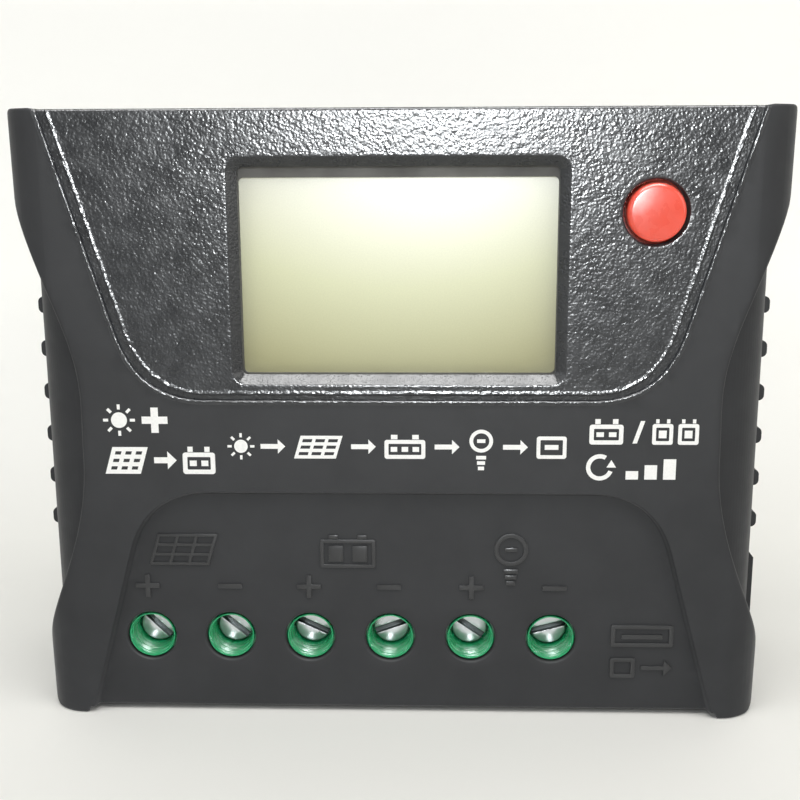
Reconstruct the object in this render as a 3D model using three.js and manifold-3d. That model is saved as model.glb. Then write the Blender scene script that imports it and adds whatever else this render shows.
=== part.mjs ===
// Solar charge controller for a wall: a moulded cover and rear case around a power board, a
// display board, six rising-clamp screw terminals, a push button and a side charging port.
// Millimetres. +Z is up and the front faces -Y. The flat back lies on Y = 0, and the origin is
// the centre of that face.

import * as THREE from 'three';
import { mergeVertices } from 'three/addons/utils/BufferGeometryUtils.js';
import Module from 'manifold-3d';

const wasm = await Module();
wasm.setup();

// ---------------------------------------------------------------- driving dimensions

const GAP = 0.3; // air left between neighbours that are cut to fit

// Front cover
const FRONT_Y = -40;
const COVER_BACK_Y = -12;
const FACE_BACK_Y = -37.4;
const TOP_Z = 50.5;
const HUMP_Z = 50.7;
const FOOT_Z = -50;
const PANEL_BOTTOM_Z = -49.1;
const FOOT_INNER_X = 53;
const WING_TOP_X = 62;
const WING_DRAFT = 0.0117; // how fast the wings and feet draw in going down
const WING_LOW_Z = 36.8; // the wings' straight sides end here
const FOOT_HIGH_Z = -39; // the feet's straight sides begin here
const FOOT_OUTER_X = 60.75;
const WAIST_X = 51.65;
const WAIST_Z = -4.9;
const WING_ROLL = 7;
const WING_INNER_X = 59.4; // the wings lap over the sides of the case
const FIELD_BOTTOM_Z = 4.65;
const GROOVE_DEPTH = 0.45;
const GROOVE_WIDTH = 1.4;
const SIDE_GROOVE_WIDTH = 1.9; // measured along X on the slanted sides
const PANEL_TOP_Z = -10.4;

// Rear case
const CASE_X = 60.4;
const CASE_TOP_Z = 48.3;
const CASE_BOTTOM_Z = -47;
const CASE_FRONT_Y = FACE_BACK_Y + GAP;
const CASE_ROLL = 10;
const CASE_WALL = 2;
const BACK_WALL = 2.4;
const RIB_COUNT = 6;
const RIB_PITCH = 7.45;
const RIB_HEIGHT = 2.8;
const TOP_RIB_Z = 18.8;

// Display
const WINDOW_X = 25.1;
const WINDOW_BOTTOM_Z = 8.9;
const WINDOW_TOP_Z = 41.7;
const WINDOW_BEVEL = 1.5;
const VISIBLE_TOP_Z = 40;
const GLASS_X = 27.6;
const GLASS_BOTTOM_Z = 6.4;
const GLASS_TOP_Z = 43.9;
const BEZEL_WALL = 1;
const BOARD_THICKNESS = 1.6;
const DISPLAY_BOARD_Y = -31.1;
const DISPLAY_BOARD_BACK_Y = DISPLAY_BOARD_Y + BOARD_THICKNESS;

// Button
const BUTTON = [39.8, 34.6];
const BUTTON_HOLE_RADIUS = 5.1;
const BUTTON_RADIUS = 4.5;
const BUTTON_FRONT_Y = -41.2;
const BUTTON_BACK_Y = -35.9;

// Main board
const MAIN_BOARD_Y = -14.2;
const MAIN_BOARD_BACK_Y = MAIN_BOARD_Y + BOARD_THICKNESS;
const MAIN_BOARD_X = 57.5;

// Terminals
const TERMINAL_COUNT = 6;
const TERMINAL_PITCH = 13.52;
const FIRST_TERMINAL_X = -42.2;
const TERMINAL_Z = -36.35;
const PANEL_Y = -38.5;
const TERMINAL_HOLE_RADIUS = 4.2;
const BLOCK_FRONT_Y = -36.9;
const BLOCK_TOP_Z = -29.5;
const BLOCK_BOTTOM_Z = -44.7;
const HEAD_SEAT_Y = -31.9;
const CLAMP_FRONT_Y = -28;
const CLAMP_BACK_Y = -15.5;
const CLAMP_WALL = 1.5;
const BAR_FRONT_Y = -23.7;
const BAR_BACK_Y = -22.2;
const WIRE_ENTRY_HALF_WIDTH = 4.8;
const WIRE_ENTRY_FRONT_Y = -25.2;
const WIRE_ENTRY_BACK_Y = -15.2;
// How far each screw's slot is turned from level, in degrees, as the screws were left.
const SLOT_ANGLES = [-45, -40, -25, 20, -35, 15];

// Charging port in the right-hand side
const PORT_Z = -34;
const PORT_WIDTH = 12.5;
const PORT_HEIGHT = 5.7;
const PORT_FACE_X = 61.6;
const PORT_BACK_X = 47.6;
const PORT_SHELL = 0.4;
const PORT_BOSS_X = 62;
const PORT_Y_RANGE = [MAIN_BOARD_Y - PORT_HEIGHT, MAIN_BOARD_Y];
const PORT_Z_RANGE = [PORT_Z - PORT_WIDTH / 2, PORT_Z + PORT_WIDTH / 2];

// Places of screws and power transistors, as [x, z]
const COVER_POSTS = [[-46.5, 43], [46.5, 43], [-46.5, -24], [46.5, -24]];
const BOARD_POSTS = [[-51.5, 24], [51.5, 24], [-51.5, -16], [51.5, -16]];
const DISPLAY_POSTS = [[-32.5, 42], [40, 8]];
const TRANSISTOR_X = [-27, -9, 9, 27];
const CLAMP_BAR_SCREW_X = [-18, 18];
const INDUCTOR = [38, -8];
const CAPACITORS = [[-46, 13], [-46, 1]];

// Heat sink, let into the back wall
const SINK_FRONT_Y = -5.7;
const SINK_LIP_Y = -BACK_WALL;
const SINK_X = 41;
const SINK_BOTTOM_Z = 5;
const SINK_TOP_Z = 41;
const SINK_LIP = 1.7;

// ---------------------------------------------------------------- solids and shapes

function solidOf(geometry) {
  const bare = geometry.clone();
  bare.deleteAttribute('normal');
  bare.deleteAttribute('uv');
  const merged = mergeVertices(bare, 1e-4);
  const vertProperties = new Float32Array(merged.attributes.position.array);
  const triVerts = new Uint32Array(merged.index.array);
  return new wasm.Manifold(new wasm.Mesh({ numProp: 3, vertProperties, triVerts }));
}

function geometryOf(solid) {
  const mesh = solid.getMesh();
  const geometry = new THREE.BufferGeometry();
  geometry.setAttribute('position', new THREE.BufferAttribute(mesh.vertProperties, 3));
  geometry.setIndex(new THREE.BufferAttribute(mesh.triVerts, 1));
  geometry.computeVertexNormals();
  return geometry;
}

function join(first, ...others) {
  return others.reduce((sum, other) => sum.add(other), first);
}

function cut(first, ...others) {
  return others.reduce((rest, other) => rest.subtract(other), first);
}

// A box given as its ranges along x, y and z.
function block([x0, x1], [y0, y1], [z0, z1]) {
  const geometry = new THREE.BoxGeometry(x1 - x0, y1 - y0, z1 - z0);
  geometry.translate((x0 + x1) / 2, (y0 + y1) / 2, (z0 + z1) / 2);
  return solidOf(geometry);
}

// A shape drawn in the front view (x, z), with its thickness from frontY back to backY.
function plate(shape, frontY, backY, curveSegments = 10) {
  const depth = backY - frontY;
  const geometry = new THREE.ExtrudeGeometry(shape, { depth, bevelEnabled: false, curveSegments });
  geometry.rotateX(Math.PI / 2);
  geometry.translate(0, backY, 0);
  return solidOf(geometry);
}

// A shape drawn in plan (x, y), run upward from bottomZ to topZ.
function prism(shape, bottomZ, topZ, curveSegments = 10) {
  const depth = topZ - bottomZ;
  const geometry = new THREE.ExtrudeGeometry(shape, { depth, bevelEnabled: false, curveSegments });
  geometry.translate(0, 0, bottomZ);
  return solidOf(geometry);
}

// A round bar along Y, centred on [x, z]; the two radii differ on a cone.
function rod([x, z], frontY, backY, frontRadius, backRadius = frontRadius, segments = 28) {
  const geometry = new THREE.CylinderGeometry(backRadius, frontRadius, backY - frontY, segments);
  geometry.translate(x, (frontY + backY) / 2, z);
  return solidOf(geometry);
}

function roundedRectangle([x0, x1], [z0, z1], radius) {
  const shape = new THREE.Shape();
  shape.moveTo(x0 + radius, z0);
  shape.lineTo(x1 - radius, z0);
  shape.absarc(x1 - radius, z0 + radius, radius, -Math.PI / 2, 0);
  shape.lineTo(x1, z1 - radius);
  shape.absarc(x1 - radius, z1 - radius, radius, 0, Math.PI / 2);
  shape.lineTo(x0 + radius, z1);
  shape.absarc(x0 + radius, z1 - radius, radius, Math.PI / 2, Math.PI);
  shape.lineTo(x0, z0 + radius);
  shape.absarc(x0 + radius, z0 + radius, radius, Math.PI, 1.5 * Math.PI);
  return shape;
}

// Closes an open right-hand outline with its mirror image.
function mirrored(rightHalf, divisions = 12) {
  const right = rightHalf.getPoints(divisions);
  const left = right.map((point) => new THREE.Vector2(-point.x, point.y)).reverse();
  return new THREE.Shape([...right, ...left]);
}

function finish(name, solid, colour, roughness, metalness) {
  const material = new THREE.MeshStandardMaterial({ color: colour, roughness, metalness });
  const mesh = new THREE.Mesh(geometryOf(solid), material);
  mesh.name = name;
  return mesh;
}

const casePlastic = (name, solid) => finish(name, solid, 0x33363c, 0.55, 0);
const blackPlastic = (name, solid) => finish(name, solid, 0x17181a, 0.45, 0);
const circuitBoard = (name, solid) => finish(name, solid, 0x1c5a34, 0.5, 0);
const steel = (name, solid) => finish(name, solid, 0xb9bcc0, 0.35, 1);
const copper = (name, solid) => finish(name, solid, 0xc9a063, 0.35, 1);
const aluminium = (name, solid) => finish(name, solid, 0xc3c6ca, 0.4, 1);

// ---------------------------------------------------------------- front cover

// Half the width of the wings and feet at a height.
function wingX(z) {
  return WING_TOP_X - (HUMP_Z - z) * WING_DRAFT;
}

// The waisted outline of the cover, wide at the wings and at the feet.
function coverOutline() {
  const right = new THREE.Path();
  right.moveTo(0, PANEL_BOTTOM_Z);
  right.lineTo(FOOT_INNER_X, PANEL_BOTTOM_Z);
  right.lineTo(FOOT_INNER_X + 0.6, FOOT_Z);
  right.lineTo(FOOT_OUTER_X - 2, FOOT_Z);
  right.quadraticCurveTo(FOOT_OUTER_X, FOOT_Z, FOOT_OUTER_X, FOOT_Z + 2.4);
  right.lineTo(wingX(FOOT_HIGH_Z), FOOT_HIGH_Z);
  right.bezierCurveTo(60.1, -32.2, WAIST_X, -20.7, WAIST_X, WAIST_Z);
  right.bezierCurveTo(WAIST_X, 9.6, 49.7, 8.2, wingX(WING_LOW_Z), WING_LOW_Z);
  right.lineTo(WING_TOP_X, HUMP_Z - 1.6);
  right.quadraticCurveTo(WING_TOP_X, HUMP_Z, WING_TOP_X - 1.6, HUMP_Z);
  right.lineTo(WING_TOP_X - 5, HUMP_Z);
  right.lineTo(WING_TOP_X - 6.5, TOP_Z);
  right.lineTo(0, TOP_Z);
  return mirrored(right, 14);
}

// The plan of a rolled-front box: flat back, straight sides and round front corners.
function rolledPlan(halfWidth, frontY, backY, roll) {
  const right = new THREE.Path();
  right.moveTo(0, backY);
  right.lineTo(halfWidth, backY);
  right.lineTo(halfWidth, frontY + roll);
  right.absarc(halfWidth - roll, frontY + roll, roll, 0, -Math.PI / 2, true);
  right.lineTo(0, frontY);
  return mirrored(right, 12);
}

// The grained field around the display, drawn in from its outer border by an inset that may
// differ between the bottom edge and the slanted sides.
function fieldOutline(inset, sideInset) {
  const bottomZ = FIELD_BOTTOM_Z + inset;
  const right = new THREE.Path();
  right.moveTo(0, bottomZ);
  right.lineTo(31, bottomZ);
  right.quadraticCurveTo(42 - sideInset, bottomZ, 45.4 - sideInset, 15.5);
  right.lineTo(56.5 - sideInset, TOP_Z + 2);
  right.lineTo(0, TOP_Z + 2);
  return mirrored(right, 10);
}

// The lower terminal panel, open at the bottom edge of the cover.
function panelOutline() {
  const right = new THREE.Path();
  right.moveTo(0, FOOT_Z - 1);
  right.lineTo(53.1, FOOT_Z - 1);
  right.lineTo(44.8, -21);
  right.quadraticCurveTo(42, PANEL_TOP_Z, 31, PANEL_TOP_Z);
  right.lineTo(0, PANEL_TOP_Z);
  return mirrored(right, 10);
}

function grooveTool() {
  const outer = plate(fieldOutline(0, 0), FRONT_Y - 1, FRONT_Y + GROOVE_DEPTH);
  const inner = plate(fieldOutline(GROOVE_WIDTH, SIDE_GROOVE_WIDTH), FRONT_Y - 2, FRONT_Y + 1);
  return cut(outer, inner);
}

// The display opening, with a bevel all round its front edge.
function windowTool() {
  const straight = roundedRectangle([-WINDOW_X, WINDOW_X], [WINDOW_BOTTOM_Z, WINDOW_TOP_Z], 0.8);
  const geometry = new THREE.ExtrudeGeometry(straight, {
    depth: 0.5,
    bevelEnabled: true,
    bevelSegments: 1,
    bevelSize: WINDOW_BEVEL,
    bevelThickness: WINDOW_BEVEL,
    curveSegments: 4,
  });
  geometry.rotateX(Math.PI / 2);
  geometry.translate(0, FRONT_Y, 0);
  return join(plate(straight, FRONT_Y - 1, FACE_BACK_Y + 1, 4), solidOf(geometry));
}

function terminalX(index) {
  return FIRST_TERMINAL_X + index * TERMINAL_PITCH;
}

function terminals(make) {
  return Array.from({ length: TERMINAL_COUNT }, (unused, index) => make(index));
}

// The opening in the bottom walls where one wire enters. It is a hole in the case, and in the
// cover it runs out through the rear edge as a notch.
function wireEntryTool(index, backY) {
  const x = terminalX(index);
  return block(
    [x - WIRE_ENTRY_HALF_WIDTH, x + WIRE_ENTRY_HALF_WIDTH],
    [WIRE_ENTRY_FRONT_Y, backY],
    [FOOT_Z - 1, BLOCK_BOTTOM_Z - 0.1],
  );
}

function coverPost(place) {
  return rod(place, FACE_BACK_Y - 0.5, -BACK_WALL - GAP, 3, 3, 16);
}

function displayPost(place) {
  return rod(place, FACE_BACK_Y - 0.5, DISPLAY_BOARD_Y, 2.2, 2.2, 16);
}

function frontCover() {
  const outer = plate(coverOutline(), FRONT_Y, COVER_BACK_Y);
  const loaf = prism(rolledPlan(WING_TOP_X, FRONT_Y, COVER_BACK_Y + 1, WING_ROLL), -60, 60)
    .warp((corner) => { corner[0] *= wingX(corner[2]) / WING_TOP_X; });
  const inside = prism(
    rolledPlan(CASE_X + GAP, FACE_BACK_Y, 1, CASE_ROLL + GAP),
    CASE_BOTTOM_Z - GAP,
    CASE_TOP_Z + GAP,
  );
  const betweenWings = block([-WING_INNER_X, WING_INNER_X], [FRONT_Y, 1], [FOOT_Z, TOP_Z]);
  const portNotch = block([54, 70], [-26.3, 0], [-44.3, -23.7]);
  const screwHoles = terminals((index) => rod(
    [terminalX(index), TERMINAL_Z], FRONT_Y - 1, FACE_BACK_Y + 1, TERMINAL_HOLE_RADIUS,
    TERMINAL_HOLE_RADIUS, 24,
  ));
  const shell = cut(
    outer.intersect(loaf),
    inside.intersect(betweenWings),
    portNotch,
    plate(panelOutline(), FRONT_Y - 1, PANEL_Y),
    grooveTool(),
    windowTool(),
    rod(BUTTON, FRONT_Y - 1, FACE_BACK_Y + 1, BUTTON_HOLE_RADIUS, BUTTON_HOLE_RADIUS, 32),
    ...screwHoles,
    ...terminals((index) => wireEntryTool(index, COVER_BACK_Y + 1)),
  );
  const posts = join(...COVER_POSTS.map(coverPost), ...DISPLAY_POSTS.map(displayPost));
  const pilots = [
    ...COVER_POSTS.map((place) => rod(place, -14, 1, 1.5, 1.5, 12)),
    ...DISPLAY_POSTS.map((place) => rod(place, -36, -30, 1.1, 1.1, 12)),
  ];
  return casePlastic('front_cover', cut(join(shell, posts), ...pilots));
}

// ---------------------------------------------------------------- rear case

function sideRibs() {
  const ribs = [];
  for (let i = 0; i < RIB_COUNT; i += 1) {
    const z = TOP_RIB_Z - i * RIB_PITCH;
    const halfHeight = RIB_HEIGHT / 2;
    const outline = roundedRectangle([-CASE_X - 1, CASE_X + 1], [z - halfHeight, z + halfHeight], 0.9);
    ribs.push(plate(outline, -28, -3, 3));
  }
  return join(...ribs);
}

// A raised surround for the charging port, with a chamfered upper end.
function portBoss() {
  const plan = new THREE.Shape();
  plan.moveTo(CASE_X - 3, -43.6);
  plan.lineTo(PORT_BOSS_X, -43.6);
  plan.lineTo(PORT_BOSS_X, -26.3);
  plan.lineTo(CASE_X, -24.2);
  plan.lineTo(CASE_X - 3, -24.2);
  return plate(plan, -25.8, -7);
}

// The steps in the sides of the case that leave room for the wings of the cover.
function lapTool() {
  const grown = [[-GAP, 0], [GAP, 0], [0, -GAP], [0, GAP]].map(([alongX, alongZ]) =>
    plate(coverOutline(), FRONT_Y - 1, COVER_BACK_Y + GAP).translate([alongX, 0, alongZ]));
  const keptX = WING_INNER_X - GAP;
  return cut(join(...grown), block([-keptX, keptX], [FRONT_Y - 2, 0], [FOOT_Z - 2, TOP_Z + 2]));
}

function backWallKeyhole(x) {
  const head = rod([x, 26], -5, 1, 3.6, 3.6, 20);
  const neck = plate(roundedRectangle([x - 1.9, x + 1.9], [26, 34], 1.8), -5, 1);
  return join(head, neck);
}

function rearCase() {
  const outer = prism(rolledPlan(CASE_X, CASE_FRONT_Y, 0, CASE_ROLL), CASE_BOTTOM_Z, CASE_TOP_Z);
  const innerX = CASE_X - CASE_WALL;
  const innerRoll = CASE_ROLL - CASE_WALL;
  const innerFrontY = CASE_FRONT_Y + CASE_WALL;
  const hollow = prism(
    rolledPlan(innerX, innerFrontY, -BACK_WALL, innerRoll),
    CASE_BOTTOM_Z + CASE_WALL,
    CASE_TOP_Z - CASE_WALL,
  );
  const mouthX = CASE_X - CASE_ROLL;
  const mouth = block(
    [-mouthX, mouthX],
    [CASE_FRONT_Y - 1, innerFrontY + 1],
    [CASE_BOTTOM_Z + CASE_WALL, CASE_TOP_Z - CASE_WALL],
  );
  const ribs = sideRibs().subtract(block([-50, 50], [-40, 0], [-50, 50]));
  const boardPosts = BOARD_POSTS.map((place) => rod(place, MAIN_BOARD_BACK_Y, -1, 3, 3, 12));
  const sinkWindow = block(
    [-SINK_X - GAP, SINK_X + GAP],
    [-10, 1],
    [SINK_BOTTOM_Z - GAP, SINK_TOP_Z + GAP],
  );
  const portTunnel = block(
    [PORT_BACK_X, 70],
    [MAIN_BOARD_Y - PORT_HEIGHT - GAP, MAIN_BOARD_Y + GAP],
    [PORT_Z - PORT_WIDTH / 2 - GAP, PORT_Z + PORT_WIDTH / 2 + GAP],
  );
  const skin = cut(join(outer, ribs), lapTool());
  const shell = cut(join(skin, portBoss()), hollow, mouth, sinkWindow);
  const tools = [
    portTunnel,
    backWallKeyhole(-50),
    backWallKeyhole(50),
    ...terminals((index) => wireEntryTool(index, WIRE_ENTRY_BACK_Y)),
    ...BOARD_POSTS.map((place) => rod(place, -13, -4, 1.2, 1.2, 12)),
    ...COVER_POSTS.map((place) => rod(place, -5, 1, 1.7, 1.7, 12)),
    ...COVER_POSTS.map((place) => rod(place, -1.4, 1, 3.1, 3.1, 20)),
  ];
  return casePlastic('rear_case', cut(join(shell, ...boardPosts), ...tools));
}

function heatSink() {
  const face = block([-SINK_X, SINK_X], [SINK_FRONT_Y, 0], [SINK_BOTTOM_Z, SINK_TOP_Z]);
  const lip = block(
    [-SINK_X - SINK_LIP, SINK_X + SINK_LIP],
    [SINK_FRONT_Y, SINK_LIP_Y],
    [SINK_BOTTOM_Z - SINK_LIP, SINK_TOP_Z + SINK_LIP],
  );
  const holes = CLAMP_BAR_SCREW_X.map((x) => rod([x, 21], SINK_FRONT_Y - 1, -2.5, 1.5, 1.5, 12));
  return aluminium('heat_sink', cut(join(face, lip), ...holes));
}

// ---------------------------------------------------------------- screws

// A pan-head screw seen head on, with a cross recess. The head lies on the side given by
// direction: -1 puts it in front of its seat and 1 behind it.
function panScrew(name, place, seatY, direction, head, shank) {
  const [x, z] = place;
  const topY = seatY + direction * head.height;
  const tipY = seatY - direction * shank.length;
  const low = Math.min(topY, seatY);
  const high = Math.max(topY, seatY);
  const headSolid = rod(place, low, high, head.radius, head.radius, 16);
  const shankSolid = rod(place, Math.min(seatY, tipY), Math.max(seatY, tipY), shank.radius,
    shank.radius, 10);
  const reach = head.radius * 0.6;
  const recessY = topY - direction * head.height * 0.5;
  const recess = [Math.min(recessY, topY + direction), Math.max(recessY, topY + direction)];
  const upright = block([x - 0.3, x + 0.3], recess, [z - reach, z + reach]);
  const level = block([x - reach, x + reach], recess, [z - 0.3, z + 0.3]);
  return steel(name, cut(join(headSolid, shankSolid), upright, level));
}

function caseScrews() {
  return COVER_POSTS.map((place, i) => panScrew(
    `case_screw_${i + 1}`, place, -1.4, 1, { radius: 2.7, height: 1.3 },
    { radius: 1.3, length: 10.5 },
  ));
}

function boardScrews() {
  return BOARD_POSTS.map((place, i) => panScrew(
    `board_screw_${i + 1}`, place, MAIN_BOARD_Y, -1, { radius: 2.5, height: 1.5 },
    { radius: 1.05, length: 8 },
  ));
}

function displayScrews() {
  return DISPLAY_POSTS.map((place, i) => panScrew(
    `display_screw_${i + 1}`, place, DISPLAY_BOARD_BACK_Y, 1, { radius: 2.1, height: 1.3 },
    { radius: 0.95, length: 5.2 },
  ));
}

// ---------------------------------------------------------------- display

function bezel() {
  const x = GLASS_X + GAP + BEZEL_WALL;
  const bottom = GLASS_BOTTOM_Z - GAP - BEZEL_WALL;
  const top = GLASS_TOP_Z + GAP + BEZEL_WALL;
  const frontY = FACE_BACK_Y + GAP;
  const outer = plate(roundedRectangle([-x, x], [bottom, top], 1), frontY, DISPLAY_BOARD_Y, 3);
  const pocket = block(
    [-GLASS_X - GAP, GLASS_X + GAP],
    [frontY + 0.5, DISPLAY_BOARD_Y + 1],
    [GLASS_BOTTOM_Z - GAP, GLASS_TOP_Z + GAP],
  );
  const opening = roundedRectangle([-WINDOW_X, WINDOW_X], [WINDOW_BOTTOM_Z, VISIBLE_TOP_Z], 0.8);
  return blackPlastic('display_bezel', cut(outer, pocket, plate(opening, frontY - 1, -33, 4)));
}

function displayGlass() {
  const glass = block([-GLASS_X, GLASS_X], [-36.5, -34.3], [GLASS_BOTTOM_Z, GLASS_TOP_Z]);
  return finish('display_glass', glass, 0xdfe3b8, 0.2, 0);
}

function backlight() {
  const body = block([-GLASS_X, GLASS_X], [-34.2, -31.2], [GLASS_BOTTOM_Z, GLASS_TOP_Z]);
  return finish('display_backlight', body, 0xf0f0ea, 0.4, 0);
}

function displayBoard() {
  const outline = roundedRectangle([-36, 43], [4.2, 45.6], 1);
  const board = plate(outline, DISPLAY_BOARD_Y, DISPLAY_BOARD_BACK_Y, 3);
  const holes = DISPLAY_POSTS.map((place) => rod(place, -33, -27, 1.2, 1.2, 12));
  return circuitBoard('display_board', cut(board, ...holes));
}

// ---------------------------------------------------------------- button

function buttonCap() {
  const edge = 0.7;
  const shoulderY = BUTTON_FRONT_Y + edge;
  const face = rod(BUTTON, BUTTON_FRONT_Y, shoulderY, BUTTON_RADIUS - edge, BUTTON_RADIUS, 32);
  const barrel = rod(BUTTON, shoulderY, BUTTON_BACK_Y, BUTTON_RADIUS, BUTTON_RADIUS, 32);
  const flange = rod(BUTTON, BUTTON_BACK_Y - 1, BUTTON_BACK_Y, 5.7, 5.7, 32);
  return finish('button_cap', join(face, barrel, flange), 0xd8281c, 0.3, 0);
}

function switchPlunger() {
  return blackPlastic('switch_plunger', rod(BUTTON, BUTTON_BACK_Y, -33.4, 1.7, 1.7, 20));
}

function switchBody() {
  const [x, z] = BUTTON;
  const body = block([x - 3, x + 3], [-34.6, DISPLAY_BOARD_Y], [z - 3, z + 3]);
  const well = rod(BUTTON, -36, -32.4, 2, 2, 20);
  return blackPlastic('switch_body', cut(body, well));
}

// ---------------------------------------------------------------- terminals

// One two-way block: a body behind the panel with a stepped green barrel in each panel hole.
function terminalBlock(number) {
  const places = [0, 1].map((side) => [terminalX(2 * number + side), TERMINAL_Z]);
  const left = places[0][0] - TERMINAL_PITCH / 2 + 0.17;
  const right = places[1][0] + TERMINAL_PITCH / 2 - 0.17;
  const body = block([left, right], [BLOCK_FRONT_Y, MAIN_BOARD_Y], [BLOCK_BOTTOM_Z, BLOCK_TOP_Z]);
  const collars = places.map((place) => rod(place, PANEL_Y + 0.3, BLOCK_FRONT_Y + 1, 3.9, 3.9, 24));
  const solid = cut(join(body, ...collars), ...places.flatMap(terminalCavity));
  return finish(`terminal_block_${number + 1}`, solid, 0x1f9a55, 0.3, 0);
}

// The hollow parts of one way: stepped barrel, screw hole, clamp chamber, wire entry, bar slot.
function terminalCavity([x, z]) {
  return [
    rod([x, z], PANEL_Y - 1, -36.2, 3.7, 3.7, 24),
    rod([x, z], -36.3, HEAD_SEAT_Y, 3.4, 3.4, 24),
    rod([x, z], -33, -30, 2.2, 2.2, 12),
    block([x - 5.5, x + 5.5], [-31.1, -15.2], [z - 5.3, z + 5.3]),
    block([x - 4.3, x + 4.3], [-24.6, -15.9], [BLOCK_BOTTOM_Z - 1, z]),
    block([x - 3.3, x + 3.3], [-24, -21.9], [z, BLOCK_TOP_Z + 1]),
  ];
}

// A slotted head and a plain shank; the slot is turned to the angle it was left at.
function terminalScrew(index, slotAngle) {
  const place = [0, 0];
  const head = rod(place, -33.2, -32, 3.1, 3.1, 24);
  const chamfer = rod(place, -33.5, -33.2, 2.8, 3.1, 24);
  const shank = rod(place, -32, -24, 1.9, 1.9, 12);
  const slot = block([-4, 4], [-35, -32.7], [-0.5, 0.5]);
  const screw = cut(join(head, chamfer, shank), slot).rotate([0, -slotAngle, 0]);
  const placed = screw.translate([terminalX(index), 0, TERMINAL_Z]);
  return steel(`terminal_screw_${index + 1}`, placed);
}

// A rising clamp: a rectangular ring around the contact bar that lifts the wire against it.
function clamp(index) {
  const x = terminalX(index);
  const z = TERMINAL_Z;
  const outer = block([x - 5.1, x + 5.1], [CLAMP_FRONT_Y, CLAMP_BACK_Y], [z - 4.6, z + 4.6]);
  const wireSpace = block(
    [x - 3.9, x + 3.9],
    [CLAMP_FRONT_Y + CLAMP_WALL, CLAMP_BACK_Y - CLAMP_WALL],
    [z - 6, z + 6],
  );
  const threadHole = rod([x, z], CLAMP_FRONT_Y - 1, CLAMP_FRONT_Y + 3, 2.2, 2.2, 12);
  return steel(`clamp_${index + 1}`, cut(outer, wireSpace, threadHole));
}

function contactBar(index) {
  const x = terminalX(index);
  const blade = block([x - 3, x + 3], [BAR_FRONT_Y, BAR_BACK_Y], [TERMINAL_Z - 4.4, -27.7]);
  const leg = block([x - 3, x + 3], [BAR_FRONT_Y, -11.4], [-29.2, -27.7]);
  return copper(`contact_bar_${index + 1}`, join(blade, leg));
}

// ---------------------------------------------------------------- main board and its parts

function transistorPinPlaces(x) {
  return [-2.54, 0, 2.54].map((offset) => [x + offset, 12.9]);
}

function mainBoard() {
  const outline = roundedRectangle([-MAIN_BOARD_X, MAIN_BOARD_X], [-44, 45.5], 1.5);
  const board = plate(outline, MAIN_BOARD_Y, MAIN_BOARD_BACK_Y, 3);
  const barSlots = terminals((index) => {
    const x = terminalX(index);
    return block([x - 3.3, x + 3.3], [-20, 0], [-29.5, -27.4]);
  });
  const pinHoles = TRANSISTOR_X.flatMap(transistorPinPlaces).map(([x, z]) =>
    block([x - 0.7, x + 0.7], [-20, 0], [z - 0.6, z + 0.6]));
  const holes = [
    ...COVER_POSTS.map((place) => rod(place, -20, 0, 3.4, 3.4, 16)),
    ...BOARD_POSTS.map((place) => rod(place, -20, 0, 1.4, 1.4, 12)),
  ];
  return circuitBoard('main_board', cut(board, ...barSlots, ...pinHoles, ...holes));
}

// A power transistor lying on the heat sink, with its legs bent forward into the board.
function powerTransistor(number) {
  const x = TRANSISTOR_X[number];
  const tab = block([x - 5, x + 5], [SINK_FRONT_Y - 1.3, SINK_FRONT_Y], [25, 31]);
  const body = block([x - 5, x + 5], [SINK_FRONT_Y - 4.4, SINK_FRONT_Y], [16, 25]);
  const tabHole = rod([x, 28.3], -9, -4, 1.8, 1.8, 12);
  const legs = transistorPinPlaces(x).flatMap(([pinX, pinZ]) => [
    block([pinX - 0.4, pinX + 0.4], [-8.8, -8.2], [pinZ - 0.3, 17]),
    block([pinX - 0.4, pinX + 0.4], [-15.4, -8.2], [pinZ - 0.3, pinZ + 0.3]),
  ]);
  const solid = cut(join(body, tab, ...legs), tabHole);
  return blackPlastic(`power_transistor_${number + 1}`, solid);
}

function clampBar() {
  const frontY = SINK_FRONT_Y - 5.4;
  const bar = block([-36, 36], [frontY, SINK_FRONT_Y - 4.4], [18, 24]);
  const holes = CLAMP_BAR_SCREW_X.map((x) => rod([x, 21], -13, -9, 1.6, 1.6, 12));
  return steel('clamp_bar', cut(bar, ...holes));
}

function clampBarScrews() {
  return CLAMP_BAR_SCREW_X.map((x, i) => panScrew(
    `clamp_bar_screw_${i + 1}`, [x, 21], SINK_FRONT_Y - 5.4, -1, { radius: 2.5, height: 1.2 },
    { radius: 1.3, length: 7.8 },
  ));
}

function capacitor(place, index) {
  const can = rod(place, MAIN_BOARD_Y - 16, MAIN_BOARD_Y - 0.8, 5, 5, 24);
  const bung = rod(place, MAIN_BOARD_Y - 1, MAIN_BOARD_Y, 4.4, 4.4, 24);
  return finish(`capacitor_${index + 1}`, join(can, bung), 0x22252b, 0.35, 0.2);
}

function inductorCore() {
  const post = rod(INDUCTOR, -23.2, MAIN_BOARD_Y, 3, 3, 16);
  const upperDisc = rod(INDUCTOR, -23.2, -21.7, 6, 6, 24);
  const lowerDisc = rod(INDUCTOR, -15.7, MAIN_BOARD_Y, 6, 6, 24);
  return finish('inductor_core', join(post, upperDisc, lowerDisc), 0x2b2b2e, 0.6, 0);
}

function inductorCoil() {
  const outer = rod(INDUCTOR, -21.6, -15.8, 5.3, 5.3, 24);
  const bore = rod(INDUCTOR, -23, -14, 3.1, 3.1, 16);
  return copper('inductor_coil', cut(outer, bore));
}

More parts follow.
